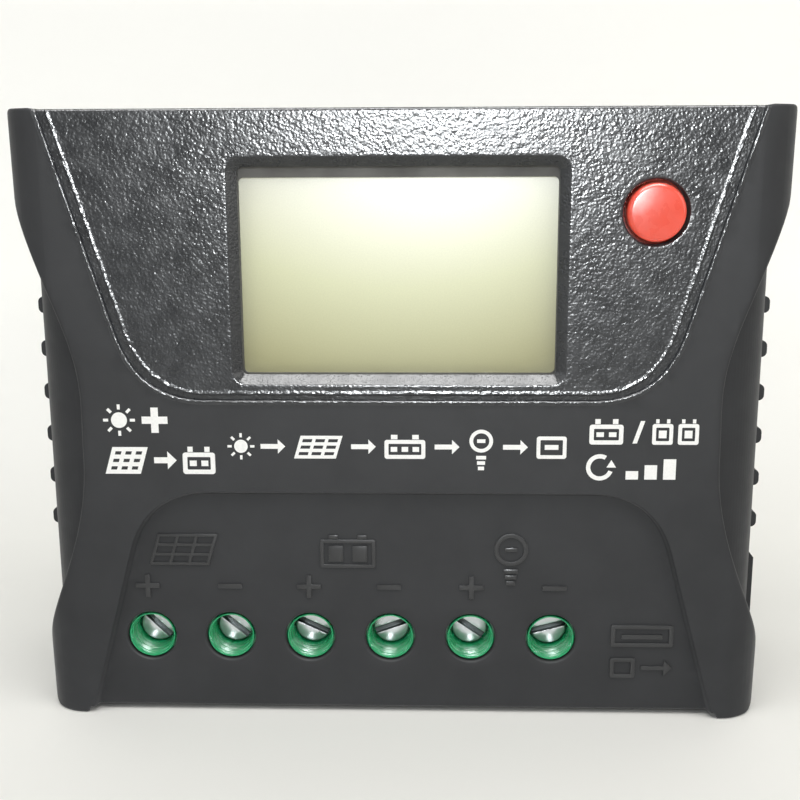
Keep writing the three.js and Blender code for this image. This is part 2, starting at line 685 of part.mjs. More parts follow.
function microcontroller() {
  const [x, z] = [4, -14];
  const body = block([x - 5, x + 5], [MAIN_BOARD_Y - 1.5, MAIN_BOARD_Y - 0.1], [z - 5, z + 5]);
  const legs = [];
  for (let i = -2; i <= 2; i += 1) {
    const along = i * 2;
    const leg = [MAIN_BOARD_Y - 0.6, MAIN_BOARD_Y];
    legs.push(block([x - 6, x + 6], leg, [z + along - 0.25, z + along + 0.25]));
    legs.push(block([x + along - 0.25, x + along + 0.25], leg, [z - 6, z + 6]));
  }
  return blackPlastic('microcontroller', join(body, ...legs));
}

// ---------------------------------------------------------------- link between the boards

function displaySocket() {
  const body = block([-9, 9], [DISPLAY_BOARD_BACK_Y, DISPLAY_BOARD_BACK_Y + 2.6], [8, 14]);
  const mouth = block([-8, 8], [-28.4, -27.4], [0, 13]);
  return finish('display_socket', cut(body, mouth), 0xe8e4d8, 0.5, 0);
}

function mainSocket() {
  const body = block([-9, 9], [MAIN_BOARD_Y - 2.6, MAIN_BOARD_Y], [-7, -1]);
  const mouth = block([-8, 8], [-15.9, -14.9], [-6, 2]);
  return finish('main_socket', cut(body, mouth), 0xe8e4d8, 0.5, 0);
}

// A flat cable that leaves one socket downward and enters the other from above, as a chain of
// [y, z] points: a straight end, an S-bend and a straight end.
function linkCable() {
  const half = 0.25;
  const bend = new THREE.CubicBezierCurve(
    new THREE.Vector2(-27.9, 7.4),
    new THREE.Vector2(-27.9, 0),
    new THREE.Vector2(-15.4, 7),
    new THREE.Vector2(-15.4, -0.4),
  );
  const centres = [new THREE.Vector2(-27.9, 12), ...bend.getPoints(20), new THREE.Vector2(-15.4, -5)];
  const side = (sign) => centres.map((centre, i) => {
    const before = centres[Math.max(i - 1, 0)];
    const after = centres[Math.min(i + 1, centres.length - 1)];
    const along = after.clone().sub(before).normalize();
    return new THREE.Vector2(centre.x - sign * half * along.y, centre.y + sign * half * along.x);
  });
  const profile = new THREE.Shape([...side(1), ...side(-1).reverse()]);
  const geometry = new THREE.ExtrudeGeometry(profile, { depth: 15, bevelEnabled: false });
  // The profile is drawn as (y, z) and run along x.
  const toWorld = new THREE.Matrix4().makeBasis(
    new THREE.Vector3(0, 1, 0),
    new THREE.Vector3(0, 0, 1),
    new THREE.Vector3(1, 0, 0),
  );
  geometry.applyMatrix4(toWorld);
  geometry.translate(-7.5, 0, 0);
  return finish('link_cable', solidOf(geometry), 0xd9d9d4, 0.5, 0);
}

// ---------------------------------------------------------------- charging port

function portShell() {
  const [frontY, backY] = PORT_Y_RANGE;
  const [lowZ, highZ] = PORT_Z_RANGE;
  const outer = block([PORT_BACK_X, PORT_FACE_X], PORT_Y_RANGE, PORT_Z_RANGE);
  const inner = block(
    [PORT_BACK_X - 1, PORT_FACE_X + 1],
    [frontY + PORT_SHELL, backY - PORT_SHELL],
    [lowZ + PORT_SHELL, highZ - PORT_SHELL],
  );
  return steel('port_shell', cut(outer, inner));
}

function portTongue() {
  const [frontY, backY] = PORT_Y_RANGE;
  const [lowZ, highZ] = PORT_Z_RANGE;
  const carrier = block(
    [PORT_BACK_X + 0.3, PORT_BACK_X + 3.3],
    [frontY + PORT_SHELL + 0.1, backY - PORT_SHELL - 0.1],
    [lowZ + PORT_SHELL + 0.1, highZ - PORT_SHELL - 0.1],
  );
  const tongue = block([PORT_BACK_X + 3, PORT_FACE_X - 1.4], [-19.1, -17.2], [PORT_Z - 5.3, PORT_Z + 5.3]);
  return finish('port_tongue', join(carrier, tongue), 0xf2f2ee, 0.4, 0);
}

// ---------------------------------------------------------------- assembly

const controller = new THREE.Group();
controller.add(frontCover(), rearCase(), heatSink(), ...caseScrews());
controller.add(bezel(), displayGlass(), backlight(), displayBoard(), ...displayScrews());
controller.add(buttonCap(), switchPlunger(), switchBody());
controller.add(mainBoard(), ...boardScrews(), microcontroller());
controller.add(...CAPACITORS.map(capacitor), inductorCore(), inductorCoil());
controller.add(displaySocket(), mainSocket(), linkCable());
controller.add(portShell(), portTongue());
for (let number = 0; number < TRANSISTOR_X.length; number += 1) {
  controller.add(powerTransistor(number));
}
controller.add(clampBar(), ...clampBarScrews());
for (let number = 0; number < TERMINAL_COUNT / 2; number += 1) {
  controller.add(terminalBlock(number));
}
for (let index = 0; index < TERMINAL_COUNT; index += 1) {
  controller.add(terminalScrew(index, SLOT_ANGLES[index]), clamp(index), contactBar(index));
}

export default controller;
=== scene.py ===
# The looks of a wall-mounted solar charge controller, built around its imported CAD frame.
# Lengths are in millimetres until a mesh is made, and one Blender unit is one metre.
# An outline is drawn in the front view as (x, z) points; depth runs along Y, front at -Y.

import math

import bpy
import numpy as np
from mathutils import Matrix, Vector, geometry, noise


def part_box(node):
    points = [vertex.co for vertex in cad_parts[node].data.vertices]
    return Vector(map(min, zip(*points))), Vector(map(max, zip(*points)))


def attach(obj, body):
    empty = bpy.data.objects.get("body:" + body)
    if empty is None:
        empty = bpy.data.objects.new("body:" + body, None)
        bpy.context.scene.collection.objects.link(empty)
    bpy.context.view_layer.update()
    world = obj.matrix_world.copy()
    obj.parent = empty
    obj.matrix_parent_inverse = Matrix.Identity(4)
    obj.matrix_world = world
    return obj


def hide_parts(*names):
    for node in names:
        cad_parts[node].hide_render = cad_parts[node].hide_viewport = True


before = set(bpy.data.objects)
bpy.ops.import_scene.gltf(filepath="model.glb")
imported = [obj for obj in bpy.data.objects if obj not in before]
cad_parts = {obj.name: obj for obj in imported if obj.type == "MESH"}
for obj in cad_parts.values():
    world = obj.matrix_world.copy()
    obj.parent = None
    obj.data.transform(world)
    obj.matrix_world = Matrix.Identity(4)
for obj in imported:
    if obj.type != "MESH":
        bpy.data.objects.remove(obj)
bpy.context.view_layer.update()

MM = 0.001


def box_mm(node):
    low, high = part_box(node)
    return Vector(low) / MM, Vector(high) / MM


def centre_xz(node):
    low, high = box_mm(node)
    return (low.x + high.x) / 2, (low.z + high.z) / 2


# ---- driving dimensions

cover_low, cover_high = box_mm("front_cover")
glass_low, glass_high = box_mm("display_glass")
button_low, button_high = box_mm("button_cap")

# Front cover
FRONT_Y = cover_low.y
FACE_BACK_Y = FRONT_Y + 2.6
SKIRT_BACK_Y = -12.0
POST_END_Y = cover_high.y
HUMP_Z = cover_high.z
TOP_Z = HUMP_Z - 0.2
FOOT_Z = cover_low.z
PANEL_BOTTOM_Z = FOOT_Z + 0.9
FOOT_INNER_X = 53.0
FOOT_OUTER_X = 60.75
FOOT_HIGH_Z = -39.0
WING_TOP_X = cover_high.x
WING_LOW_Z = 36.8
WING_DRAFT = 0.0117
WING_ROLL = 7.0
WAIST_X = 51.65
WAIST_Z = -4.9
FOOT_CURVE = ((60.1, -32.2), (WAIST_X, -20.7))
WING_CURVE = ((WAIST_X, 9.6), (49.7, 8.2))
EDGE_RADIUS = 0.5
CAVITY_X = 60.7
CAVITY_ROLL = 10.3
CAVITY_TOP_Z = 48.6
CAVITY_BOTTOM_Z = -47.3
WING_INNER_X = 59.4
WIRE_NOTCH_HALF = 4.8
WIRE_NOTCH_Y = -25.2
PORT_NOTCH_Y = -26.3
COVER_POSTS = ((-46.5, 43), (46.5, 43), (-46.5, -24), (46.5, -24))
COVER_POST, COVER_BORE, COVER_BORE_Y = 3.0, 1.5, -14.0
DISPLAY_POSTS = ((-32.5, 42), (40, 8))
DISPLAY_POST, DISPLAY_BORE, DISPLAY_BORE_Y = 2.2, 1.1, -36.0
DISPLAY_POST_END_Y = -31.1

# Grained field, groove and terminal panel
FIELD_BOTTOM_Z = 4.65
GROOVE_WIDTH = 1.4
SIDE_GROOVE_WIDTH = 1.9
GROOVE_DEPTH = 0.45
GROOVE_SLOPE = 0.36
BEAD_HEIGHT = 0.13
BEAD_WIDTH = 0.5
PANEL_TOP_Z = -10.4
PANEL_DEPTH = 1.5
PANEL_SLOPE = 0.7
PANEL_Y = FRONT_Y + PANEL_DEPTH
GRAIN_STEP = 0.3
GRAIN_HEIGHT = 0.042
COARSE_GRAIN, FINE_GRAIN = 1.5, 2.7
FINE_GRAIN_SHARE = 0.8
BEAD_WAVES = 2.1
BEAD_UNEVENNESS = 1.3

# Display window
WINDOW_X = glass_high.x - 2.5
WINDOW_BOTTOM_Z = glass_low.z + 2.5
WINDOW_TOP_Z = glass_high.z - 2.2
WINDOW_BEVEL = 1.5
BEVEL_ROUNDING = 0.15
WINDOW_CORNER = 0.8

# Button, terminals and screws
BUTTON_XZ = centre_xz("button_cap")
BUTTON_HOLE = 5.1
BUTTON_HOLE_EDGE = 0.3
TERMINALS = range(1, 7)
TERMINAL_HOLE = 4.2
TERMINAL_HOLE_EDGE = 0.4
SLOT_ANGLES = (-45, -40, -25, 20, -35, 15)
SLOT_HALF = 0.55
SLOT_DEPTH = 1.0
SCREW_SEAT_Y = -32.0
TERMINAL_XZ = [centre_xz(f"terminal_screw_{n}") for n in TERMINALS]

# ---- curves in the front view


def line(*points):
    return [np.array(point, float) for point in points]


def curve(*controls, steps=12):
    """Points along the Bezier curve of these control points."""
    points = []
    for t in np.linspace(0, 1, steps + 1):
        level = [np.array(point, float) for point in controls]
        while len(level) > 1:
            level = [(1 - t) * near + t * far for near, far in zip(level, level[1:])]
        points += level
    return points


def arc(centre, radius, start_degrees, end_degrees, steps=8):
    angles = np.radians(np.linspace(start_degrees, end_degrees, steps + 1))
    return [np.array(centre) + radius * np.array((math.cos(a), math.sin(a))) for a in angles]


def circle(centre, radius, steps=48):
    return np.array(arc(centre, radius, 0, 360, steps)[:-1])


def rounded_rectangle(x0, x1, z0, z1, radius, steps=6):
    left, right, low, high = x0 + radius, x1 - radius, z0 + radius, z1 - radius
    points = []
    for turn, centre in enumerate(((right, low), (right, high), (left, high), (left, low))):
        points += arc(centre, radius, 90 * turn - 90, 90 * turn, steps)
    return np.array(points)


def without_repeats(points):
    kept = [points[0]]
    for point in points[1:]:
        if np.linalg.norm(point - kept[-1]) > 1e-4:
            kept.append(point)
    return kept


def mirrored(right_half):
    """Closes an open right-hand outline, bottom centre to top centre, with its mirror image."""
    right = without_repeats(right_half)
    left = [point * (-1, 1) for point in reversed(right[1:-1])]
    return np.array(right + left)


def wing_x(z):
    """Half the width of the wings and feet at a height; they draw in going down."""
    return WING_TOP_X - (HUMP_Z - z) * WING_DRAFT


def cover_outline():
    wing_corner = HUMP_Z - 1.6
    waist = (WAIST_X, WAIST_Z)
    foot = (wing_x(FOOT_HIGH_Z), FOOT_HIGH_Z)
    wing = (wing_x(WING_LOW_Z), WING_LOW_Z)
    right = line((0, PANEL_BOTTOM_Z), (FOOT_INNER_X, PANEL_BOTTOM_Z), (FOOT_INNER_X + 0.6, FOOT_Z))
    right += curve((FOOT_OUTER_X - 2, FOOT_Z), (FOOT_OUTER_X, FOOT_Z), (FOOT_OUTER_X, FOOT_Z + 2.4))
    right += curve(foot, *FOOT_CURVE, waist, steps=30)
    right += curve(waist, *WING_CURVE, wing, steps=30)
    shoulder = (WING_TOP_X, wing_corner), (WING_TOP_X, HUMP_Z), (WING_TOP_X - 1.6, HUMP_Z)
    right += curve(*shoulder, steps=6)
    right += line((WING_TOP_X - 5, HUMP_Z), (WING_TOP_X - 6.5, TOP_Z), (0, TOP_Z))
    return mirrored(right)


def field_outline(inset=0.0, side_inset=0.0):
    bottom = FIELD_BOTTOM_Z + inset
    above = TOP_Z + 2
    right = line((0, bottom))
    corner = (31, bottom), (42 - side_inset, bottom), (45.4 - side_inset, 15.5)
    right += curve(*corner, steps=20)
    right += line((56.5 - side_inset, above), (0, above))
    return mirrored(right)


def panel_outline():
    below = FOOT_Z - 1
    right = line((0, below), (53.1, below))
    right += curve((44.8, -21), (42, PANEL_TOP_Z), (31, PANEL_TOP_Z), steps=20)
    right += line((0, PANEL_TOP_Z))
    return mirrored(right)


def window_outline():
    return rounded_rectangle(-WINDOW_X, WINDOW_X, WINDOW_BOTTOM_Z, WINDOW_TOP_Z, WINDOW_CORNER)


def moved_inward(loop, distance):
    """A counter-clockwise loop moved sideways; a negative distance moves it outward."""
    edges = loop - np.roll(loop, 1, axis=0)
    edges /= np.linalg.norm(edges, axis=1)[:, None]
    before = np.stack((-edges[:, 1], edges[:, 0]), axis=1)
    after = np.roll(before, -1, axis=0)
    mitre = 1 + (before * after).sum(axis=1)
    return loop + (before + after) * (distance / np.maximum(mitre, 0.5))[:, None]


def subdivided(loop, step):
    """The same loop with no edge longer than a step."""
    points = []
    for start, end in zip(loop, np.roll(loop, -1, axis=0)):
        count = max(1, math.ceil(np.linalg.norm(end - start) / step))
        points += [start + (end - start) * i / count for i in range(count)]
    return np.array(points)


def distance_to(points, loop):
    best = np.full(len(points), np.inf)
    for start, end in zip(loop, np.roll(loop, -1, axis=0)):
        along = end - start
        t = np.clip((points - start) @ along / max(along @ along, 1e-12), 0, 1)
        best = np.minimum(best, np.linalg.norm(points - start - t[:, None] * along, axis=1))
    return best


def inside(points, loop):
    x, z = points.T
    result = np.zeros(len(points), bool)
    for (x0, z0), (x1, z1) in zip(loop, np.roll(loop, -1, axis=0)):
        if z0 == z1:
            continue
        crosses = (z0 > z) != (z1 > z)
        result ^= crosses & (x < x0 + (z - z0) / (z1 - z0) * (x1 - x0))
    return result


def distance_from(points, centre):
    return np.linalg.norm(points - centre, axis=1)


def depth_inside(points, loop):
    """Distance from the loop, positive inside it and negative outside."""
    return np.where(inside(points, loop), 1, -1) * distance_to(points, loop)


# ---- meshes


def triangulate(loops, points=()):
    """Triangles that keep every loop as edges. Returns the corners and the triangles."""
    coords, edges = [], []
    for loop in loops:
        first = len(coords)
        coords += [Vector(point) for point in loop]
        edges += [(first + i, first + (i + 1) % len(loop)) for i in range(len(loop))]
    coords += [Vector(point) for point in points]
    result = geometry.delaunay_2d_cdt(coords, edges, [], 0, 1e-4, False)
    corners = np.array([(v.x, v.y) for v in result[0]])
    return corners, np.array(result[2])


def boundary_edges(triangles):
    """The directed edges that only one triangle uses."""
    rows = triangles.tolist()
    directed = dict.fromkeys(edge for a, b, c in rows for edge in ((a, b), (b, c), (c, a)))
    return [(a, b) for a, b in directed if (b, a) not in directed]


def new_mesh(name, vertices, faces, materials):
    """A smooth-shaded mesh from millimetre vertices."""
    mesh = bpy.data.meshes.new(name)
    mesh.from_pydata((np.asarray(vertices, float) * MM).tolist(), [], faces)
    mesh.update()
    mesh.shade_smooth()
    for material in materials:
        mesh.materials.append(material)
    return mesh


def new_object(name, data):
    made = bpy.data.objects.new(name, data)
    bpy.context.scene.collection.objects.link(made)
    return made


def make_object(name, vertices, faces, materials, body, slot, smooth_degrees=35.0):
    """A piece that rides on a body, shaded smooth except across edges sharper than the angle."""
    mesh = new_mesh(name, vertices, faces, materials)
    mesh.set_sharp_from_angle(angle=math.radians(smooth_degrees))
    piece = new_object(name, mesh)
    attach(piece, body)
    return piece


def dress(piece, *materials):
    """Gives a piece these materials in place of any it has."""
    piece.data.materials.clear()
    for material in materials:
        piece.data.materials.append(material)


def lathe_data(profile, centre, segments=64):
    """Vertices and faces of (radius, y) points turned about Y; both ends lie on the axis."""
    vertices, faces = [], []
    cx, cz = centre
    for radius, y in profile[1:-1]:
        for i in range(segments):
            angle = 2 * math.pi * i / segments
            vertices.append((cx + radius * math.cos(angle), y, cz + radius * math.sin(angle)))
    rings = len(profile) - 2
    for ring in range(rings - 1):
        for i in range(segments):
            j = (i + 1) % segments
            a, b = ring * segments + i, ring * segments + j
            faces.append((a, b, b + segments, a + segments))
    front, back = len(vertices), len(vertices) + 1
    vertices += [(cx, profile[0][1], cz), (cx, profile[-1][1], cz)]
    last = (rings - 1) * segments
    for i in range(segments):
        j = (i + 1) % segments
        faces += [(front, j, i), (back, last + i, last + j)]
    return vertices, [tuple(reversed(face)) for face in faces]


def block_data(low, high):
    xs, ys, zs = zip(low, high)
    vertices = [(x, y, z) for x in xs for y in ys for z in zs]
    faces = [(0, 1, 3, 2), (4, 6, 7, 5), (0, 4, 5, 1), (2, 3, 7, 6), (0, 2, 6, 4), (1, 5, 7, 3)]
    return vertices, faces


def placed(points, y):
    """Front-view points as (x, y, z), all at one depth or each at its own."""
    return np.column_stack((points[:, 0], np.full(len(points), y), points[:, 1]))


def without_loose(vertices, faces):
    """The mesh without the vertices that no face uses."""
    used = np.unique(np.concatenate([np.array(face) for face in faces]))
    new_index = np.full(len(vertices), -1)
    new_index[used] = np.arange(len(used))
    return vertices[used], [tuple(new_index[list(face)].tolist()) for face in faces]


def relief_data(loops, back_y, front_y):
    """A flat solid from closed loops; a loop inside another is a hole."""
    corners, triangles = triangulate(loops)
    middles = corners[triangles].mean(axis=1)
    covered = np.zeros(len(middles), bool)
    for loop in loops:
        covered ^= inside(middles, np.asarray(loop))
    triangles = triangles[covered]
    count = len(corners)
    faces = [tuple(t) for t in triangles.tolist()]
    faces += [(c + count, b + count, a + count) for a, b, c in triangles.tolist()]
    faces += [(b, a, a + count, b + count) for a, b in boundary_edges(triangles)]
    return without_loose(np.vstack((placed(corners, front_y), placed(corners, back_y))), faces)


def merged(*parts):
    """One vertex list and one face list from several."""
    vertices, faces = [], []
    for part_vertices, part_faces in parts:
        first = len(vertices)
        vertices += [tuple(v) for v in part_vertices]
        faces += [tuple(i + first for i in face) for face in part_faces]
    return vertices, faces


def applied(piece):
    """Replaces a piece's mesh with the result of its modifiers."""
    depsgraph = bpy.context.evaluated_depsgraph_get()
    mesh = bpy.data.meshes.new_from_object(piece.evaluated_get(depsgraph))
    piece.modifiers.clear()
    piece.data = mesh


def combine(piece, tool_data, operation):
    """Cuts a closed shape from a piece, or joins it on."""
    tool = new_object("tool", new_mesh("tool", *tool_data, []))
    modifier = piece.modifiers.new("combine", "BOOLEAN")
    modifier.object = tool
    modifier.operation = operation
    modifier.solver = "EXACT"
    applied(piece)
    bpy.data.objects.remove(tool)


def soften(piece, width, segments=2):
    """Rounds a piece's sharp edges a little, as moulding, casting or tumbling leaves them."""
    weld = piece.modifiers.new("weld", "WELD")
    weld.merge_threshold = 1e-6
    bevel = piece.modifiers.new("soften", "BEVEL")
    bevel.width = width * MM
    bevel.segments = segments
    bevel.limit_method = "ANGLE"
    bevel.angle_limit = math.radians(40)
    bevel.use_clamp_overlap = True


def finish_shading(piece):
    piece.data.shade_smooth()
    piece.data.set_sharp_from_angle(angle=math.radians(35))


# ---- materials


def feed(tree, node, inputs):
    """Gives a shader node its inputs; each is a value or another node's output."""
    for key, value in inputs.items():
        if isinstance(value, bpy.types.NodeSocket):
            tree.links.new(value, node.inputs[key])
        else:
            node.inputs[key].default_value = value


def add(tree, kind, inputs=None, **settings):
    node = tree.nodes.new(kind)
    for key, value in settings.items():
        setattr(node, key, value)
    feed(tree, node, inputs or {})
    return node


def new_material(name):
    material = bpy.data.materials.new(name)
    material.use_nodes = True
    tree = material.node_tree
    return material, tree, tree.nodes["Principled BSDF"]


def place(tree):
    """The place of a shaded point on the object, in metres."""
    return add(tree, "ShaderNodeTexCoord").outputs["Object"]


def noise_field(tree, size_mm, detail=2.0, roughness=0.5, vector=None):
    inputs = {
        "Vector": vector or place(tree),
        "Scale": 1 / (size_mm * MM),
        "Detail": detail,
        "Roughness": roughness,
    }
    return add(tree, "ShaderNodeTexNoise", inputs).outputs["Fac"]


def spread(tree, value, low, high, to_low=0.0, to_high=1.0):
    """Maps a value from one range to another, clamped."""
    inputs = {"Value": value, "From Min": low, "From Max": high, "To Min": to_low, "To Max": to_high}
    return add(tree, "ShaderNodeMapRange", inputs).outputs["Result"]


def mix_colour(tree, factor, first, second):
    inputs = {0: factor, 6: first, 7: second}
    return add(tree, "ShaderNodeMix", inputs, data_type="RGBA").outputs[2]


def maths(tree, operation, *values):
    inputs = dict(enumerate(values))
    return add(tree, "ShaderNodeMath", inputs, operation=operation).outputs["Value"]


def bump(tree, shader, height, depth_mm):
    """Adds surface relief to a shader, on top of any relief it already has."""
    inputs = {"Height": height, "Distance": depth_mm * MM, "Strength": 1.0}
    node = add(tree, "ShaderNodeBump", inputs)
    previous = shader.inputs["Normal"].links
    if previous:
        tree.links.new(previous[0].from_socket, node.inputs["Normal"])
    tree.links.new(node.outputs["Normal"], shader.inputs["Normal"])


def tone(colour, factor):
    return tuple(min(1.0, channel * factor) for channel in colour[:3]) + (1.0,)


def plastic(name, colour, roughness, grain_mm, grain_depth, variation=0.12, specular=0.5):
    """Moulded plastic: slow colour drift, patchy gloss and a fine spark-eroded grain."""
    material, tree, shader = new_material(name)
    drift = spread(tree, noise_field(tree, 9.0, 3.0), 0.3, 0.7)
    low, high = tone(colour, 1 - variation), tone(colour, 1 + variation)
    gloss = noise_field(tree, 3.0, 4.0)
    feed(tree, shader, {
        "Base Color": mix_colour(tree, drift, low, high),
        "Roughness": spread(tree, gloss, 0.3, 0.7, roughness - 0.06, roughness + 0.06),
        "Specular IOR Level": specular,
    })
    bump(tree, shader, noise_field(tree, grain_mm, 2.0), grain_depth)
    return material, tree, shader


CHARCOAL = (0.0275, 0.0285, 0.031, 1.0)
GRAINED_CHARCOAL = (0.0245, 0.0265, 0.0305, 1.0)


def case_plastic():
    material, tree, shader = plastic("case_plastic", CHARCOAL, 0.62, 0.22, 0.012, specular=0.2)
    feed(tree, shader, {"Sheen Weight": 0.15, "Sheen Roughness": 0.35})
    bump(tree, shader, noise_field(tree, 0.09, 1.0), 0.004)
    return material


def grained_plastic():
    """The coarse grain round the display: pebbled bumps with small glossy facets."""
    grain_mm, cell_mm = 0.3, 0.4
    material, tree, shader = plastic(
        "grained_plastic", GRAINED_CHARCOAL, 0.29, grain_mm, 0.04, specular=0.55)
    inputs = {"Vector": place(tree), "Scale": 1 / (cell_mm * MM)}
    cells = add(tree, "ShaderNodeTexVoronoi", inputs, feature="SMOOTH_F1")
    bump(tree, shader, cells.outputs["Distance"], 0.06)
    return material


def display_material():
    """Liquid crystal glass, switched off: olive, with a painted highlight that is near white at the
    top centre and fades to olive downward and to the sides; fine speckle.
    """
    material, tree, shader = new_material("display_glass")
    axes = add(tree, "ShaderNodeSeparateXYZ", {"Vector": place(tree)})
    middle = (WINDOW_BOTTOM_Z + WINDOW_TOP_Z) / 2 * MM
    height = maths(tree, "SUBTRACT", axes.outputs["Z"], middle)
    side = maths(tree, "MULTIPLY", axes.outputs["X"], axes.outputs["X"])
    # Painted highlight: the colour runs from olive at the bottom to near white at the top centre, and
    # falls off towards the sides.
    level = maths(tree, "ADD", height, maths(tree, "MULTIPLY", side, -8.0))
    painted_glare_ramp = add(tree, "ShaderNodeValToRGB", {"Fac": spread(tree, level, -0.018, 0.016)})
    elements = painted_glare_ramp.color_ramp.elements
    # The olive end is the glass's own tone; the paler middle and near-white top are the painted
    # highlight.
    elements[0].color = (0.42, 0.405, 0.18, 1.0)
    elements[1].color = (0.98, 0.98, 0.84, 1.0)
    elements.new(0.45).color = (0.68, 0.70, 0.42, 1.0)
    speckle = noise_field(tree, 0.25, 4.0, 0.7)
    darker = mix_colour(tree, 0.06, painted_glare_ramp.outputs["Color"], (0.0, 0.0, 0.0, 1.0))
    colour = mix_colour(tree, spread(tree, speckle, 0.35, 0.65), darker, painted_glare_ramp.outputs["Color"])
    feed(tree, shader, {"Base Color": colour, "Roughness": 0.42})
    feed(tree, shader, {"Coat Weight": 0.25, "Coat Roughness": 0.3})
    bump(tree, shader, speckle, 0.002)
    return material


def gloss_plastic(name, colour, roughness):
    """Smooth plastic with a clear gloss, which lets a little light in below its surface."""
    material, tree, shader = plastic(name, colour, roughness, 1.2, 0.006, 0.06)
    feed(tree, shader, {
        "Coat Weight": 0.3,
        "Coat Roughness": 0.08,
        "Subsurface Weight": 0.15,
        "Subsurface Radius": (0.002, 0.001, 0.0007),
        "Subsurface Scale": 0.5,
    })
    return material


def metal(name, colour, roughness, stretch=(1.0, 1.0, 1.0), lines_mm=0.3, depth=0.003):
    """Plated or drawn metal: fine lines along one direction, clouded gloss and faint stains."""
    material, tree, shader = new_material(name)
    inputs = {"Vector": place(tree), "Scale": stretch}
    stretched = add(tree, "ShaderNodeMapping", inputs).outputs[0]
    lines = noise_field(tree, lines_mm, 3.0, 0.6, stretched)
    clouds = noise_field(tree, 2.5, 4.0, 0.6)
    stain = spread(tree, clouds, 0.3, 0.7)
    feed(tree, shader, {
        "Base Color": mix_colour(tree, stain, tone(colour, 0.88), colour),
        "Metallic": 1.0,
        "Roughness": maths(tree, "MULTIPLY_ADD", clouds, 0.16, roughness - 0.08),
    })
    bump(tree, shader, lines, depth)
    return material


def board_material():
    """Green solder mask over copper tracks, with a faint glass weave and plated speckles."""
    material, tree, shader = new_material("circuit_board")
    board, track = (1, 1, 1, 1), (0, 0, 0, 1)
    inputs = {"Vector": place(tree), "Scale": 1 / (9 * MM), "Mortar Size": 0.035}
    inputs.update({"Color1": board, "Color2": board, "Mortar": track})
    tracks = add(tree, "ShaderNodeTexBrick", inputs, offset=0.37, squash=0.6).outputs["Color"]
    green = mix_colour(tree, tracks, (0.035, 0.23, 0.09, 1.0), (0.012, 0.11, 0.045, 1.0))
    pads = add(tree, "ShaderNodeTexVoronoi", {"Vector": place(tree), "Scale": 1 / (4.2 * MM)})
    pad = spread(tree, pads.outputs["Distance"], 0.10, 0.12, 1.0, 0.0)
    colour = mix_colour(tree, pad, green, (0.75, 0.6, 0.3, 1.0))
    feed(tree, shader, {"Base Color": colour, "Metallic": pad, "Roughness": 0.38})
    bump(tree, shader, maths(tree, "ADD", noise_field(tree, 0.5, 1.0), pad), 0.02)
    return material


def banded_material(name, light, dark, pitch_mm, direction, roughness, metallic=0.0):
    """Even bands along one axis, such as wound wire or the conductors of a flat cable."""
    material, tree, shader = new_material(name)
    inputs = {"Vector": place(tree), "Scale": 0.3142 / (pitch_mm * MM), "Distortion": 0.2}
    band = add(tree, "ShaderNodeTexWave", inputs, bands_direction=direction).outputs["Fac"]
    colour = mix_colour(tree, band, dark, light)
    feed(tree, shader, {"Base Color": colour, "Roughness": roughness, "Metallic": metallic})
    bump(tree, shader, band, 0.12)
    bump(tree, shader, noise_field(tree, 0.4, 2.0), 0.004)
    return material


def ink_material():
    """Pad-printed white ink, a little uneven, with the grain of the case showing through."""
    material, tree, shader = new_material("white_ink")
    wear = spread(tree, noise_field(tree, 0.5, 4.0, 0.7), 0.3, 0.5)
    colour = mix_colour(tree, wear, (0.86, 0.87, 0.87, 1.0), (0.98, 0.98, 0.97, 1.0))
    feed(tree, shader, {"Base Color": colour, "Roughness": 0.45})
    bump(tree, shader, noise_field(tree, 0.22, 2.0), 0.01)
    return material


CASE = case_plastic()
GRAINED = grained_plastic()
MARKS = plastic("marking_plastic", tone(CHARCOAL, 0.8), 0.35, 0.3, 0.006)[0]
BEZEL = plastic("bezel_plastic", (0.15, 0.147, 0.136, 1.0), 0.62, 0.4, 0.01, 0.3, 0.15)[0]
BLACK = plastic("black_plastic", (0.018, 0.019, 0.021, 1.0), 0.42, 0.2, 0.008)[0]
WHITE = plastic("white_plastic", (0.78, 0.78, 0.74, 1.0), 0.4, 0.3, 0.006, 0.04)[0]
SLEEVE = plastic("capacitor_sleeve", (0.02, 0.028, 0.05, 1.0), 0.22, 0.8, 0.01)[0]
FERRITE = plastic("ferrite", (0.045, 0.045, 0.05, 1.0), 0.5, 0.12, 0.03)[0]
RED = gloss_plastic("red_plastic", (0.98, 0.10, 0.058, 1.0), 0.3)
GREEN = gloss_plastic("green_plastic", (0.02, 0.40, 0.16, 1.0), 0.24)
GLASS = display_material()
STEEL = metal("plated_steel", (0.56, 0.58, 0.59, 1.0), 0.3)
# Dark steel for the faces of the screw slots: painted shade in the slot.
SLOT_SHADE_STEEL = metal("slot_shade_steel", (0.10, 0.11, 0.11, 1.0), 0.55)
ALUMINIUM = metal("milled_aluminium", (0.78, 0.79, 0.8, 1.0), 0.36, (40.0, 1.0, 1.0), 0.5, 0.006)
COPPER = metal("copper_alloy", (0.83, 0.55, 0.29, 1.0), 0.28)
BOARD = board_material()
WIRE_TONES = (0.8, 0.36, 0.14, 1), (0.35, 0.12, 0.05, 1)
WINDING = banded_material("wound_wire", *WIRE_TONES, 0.6, "Y", 0.3, 0.9)
CABLE_TONES = (0.72, 0.72, 0.7, 1), (0.5, 0.5, 0.5, 1)
CABLE = banded_material("flat_cable", *CABLE_TONES, 1.27, "X", 0.45)
INK = ink_material()

# ---- front cover

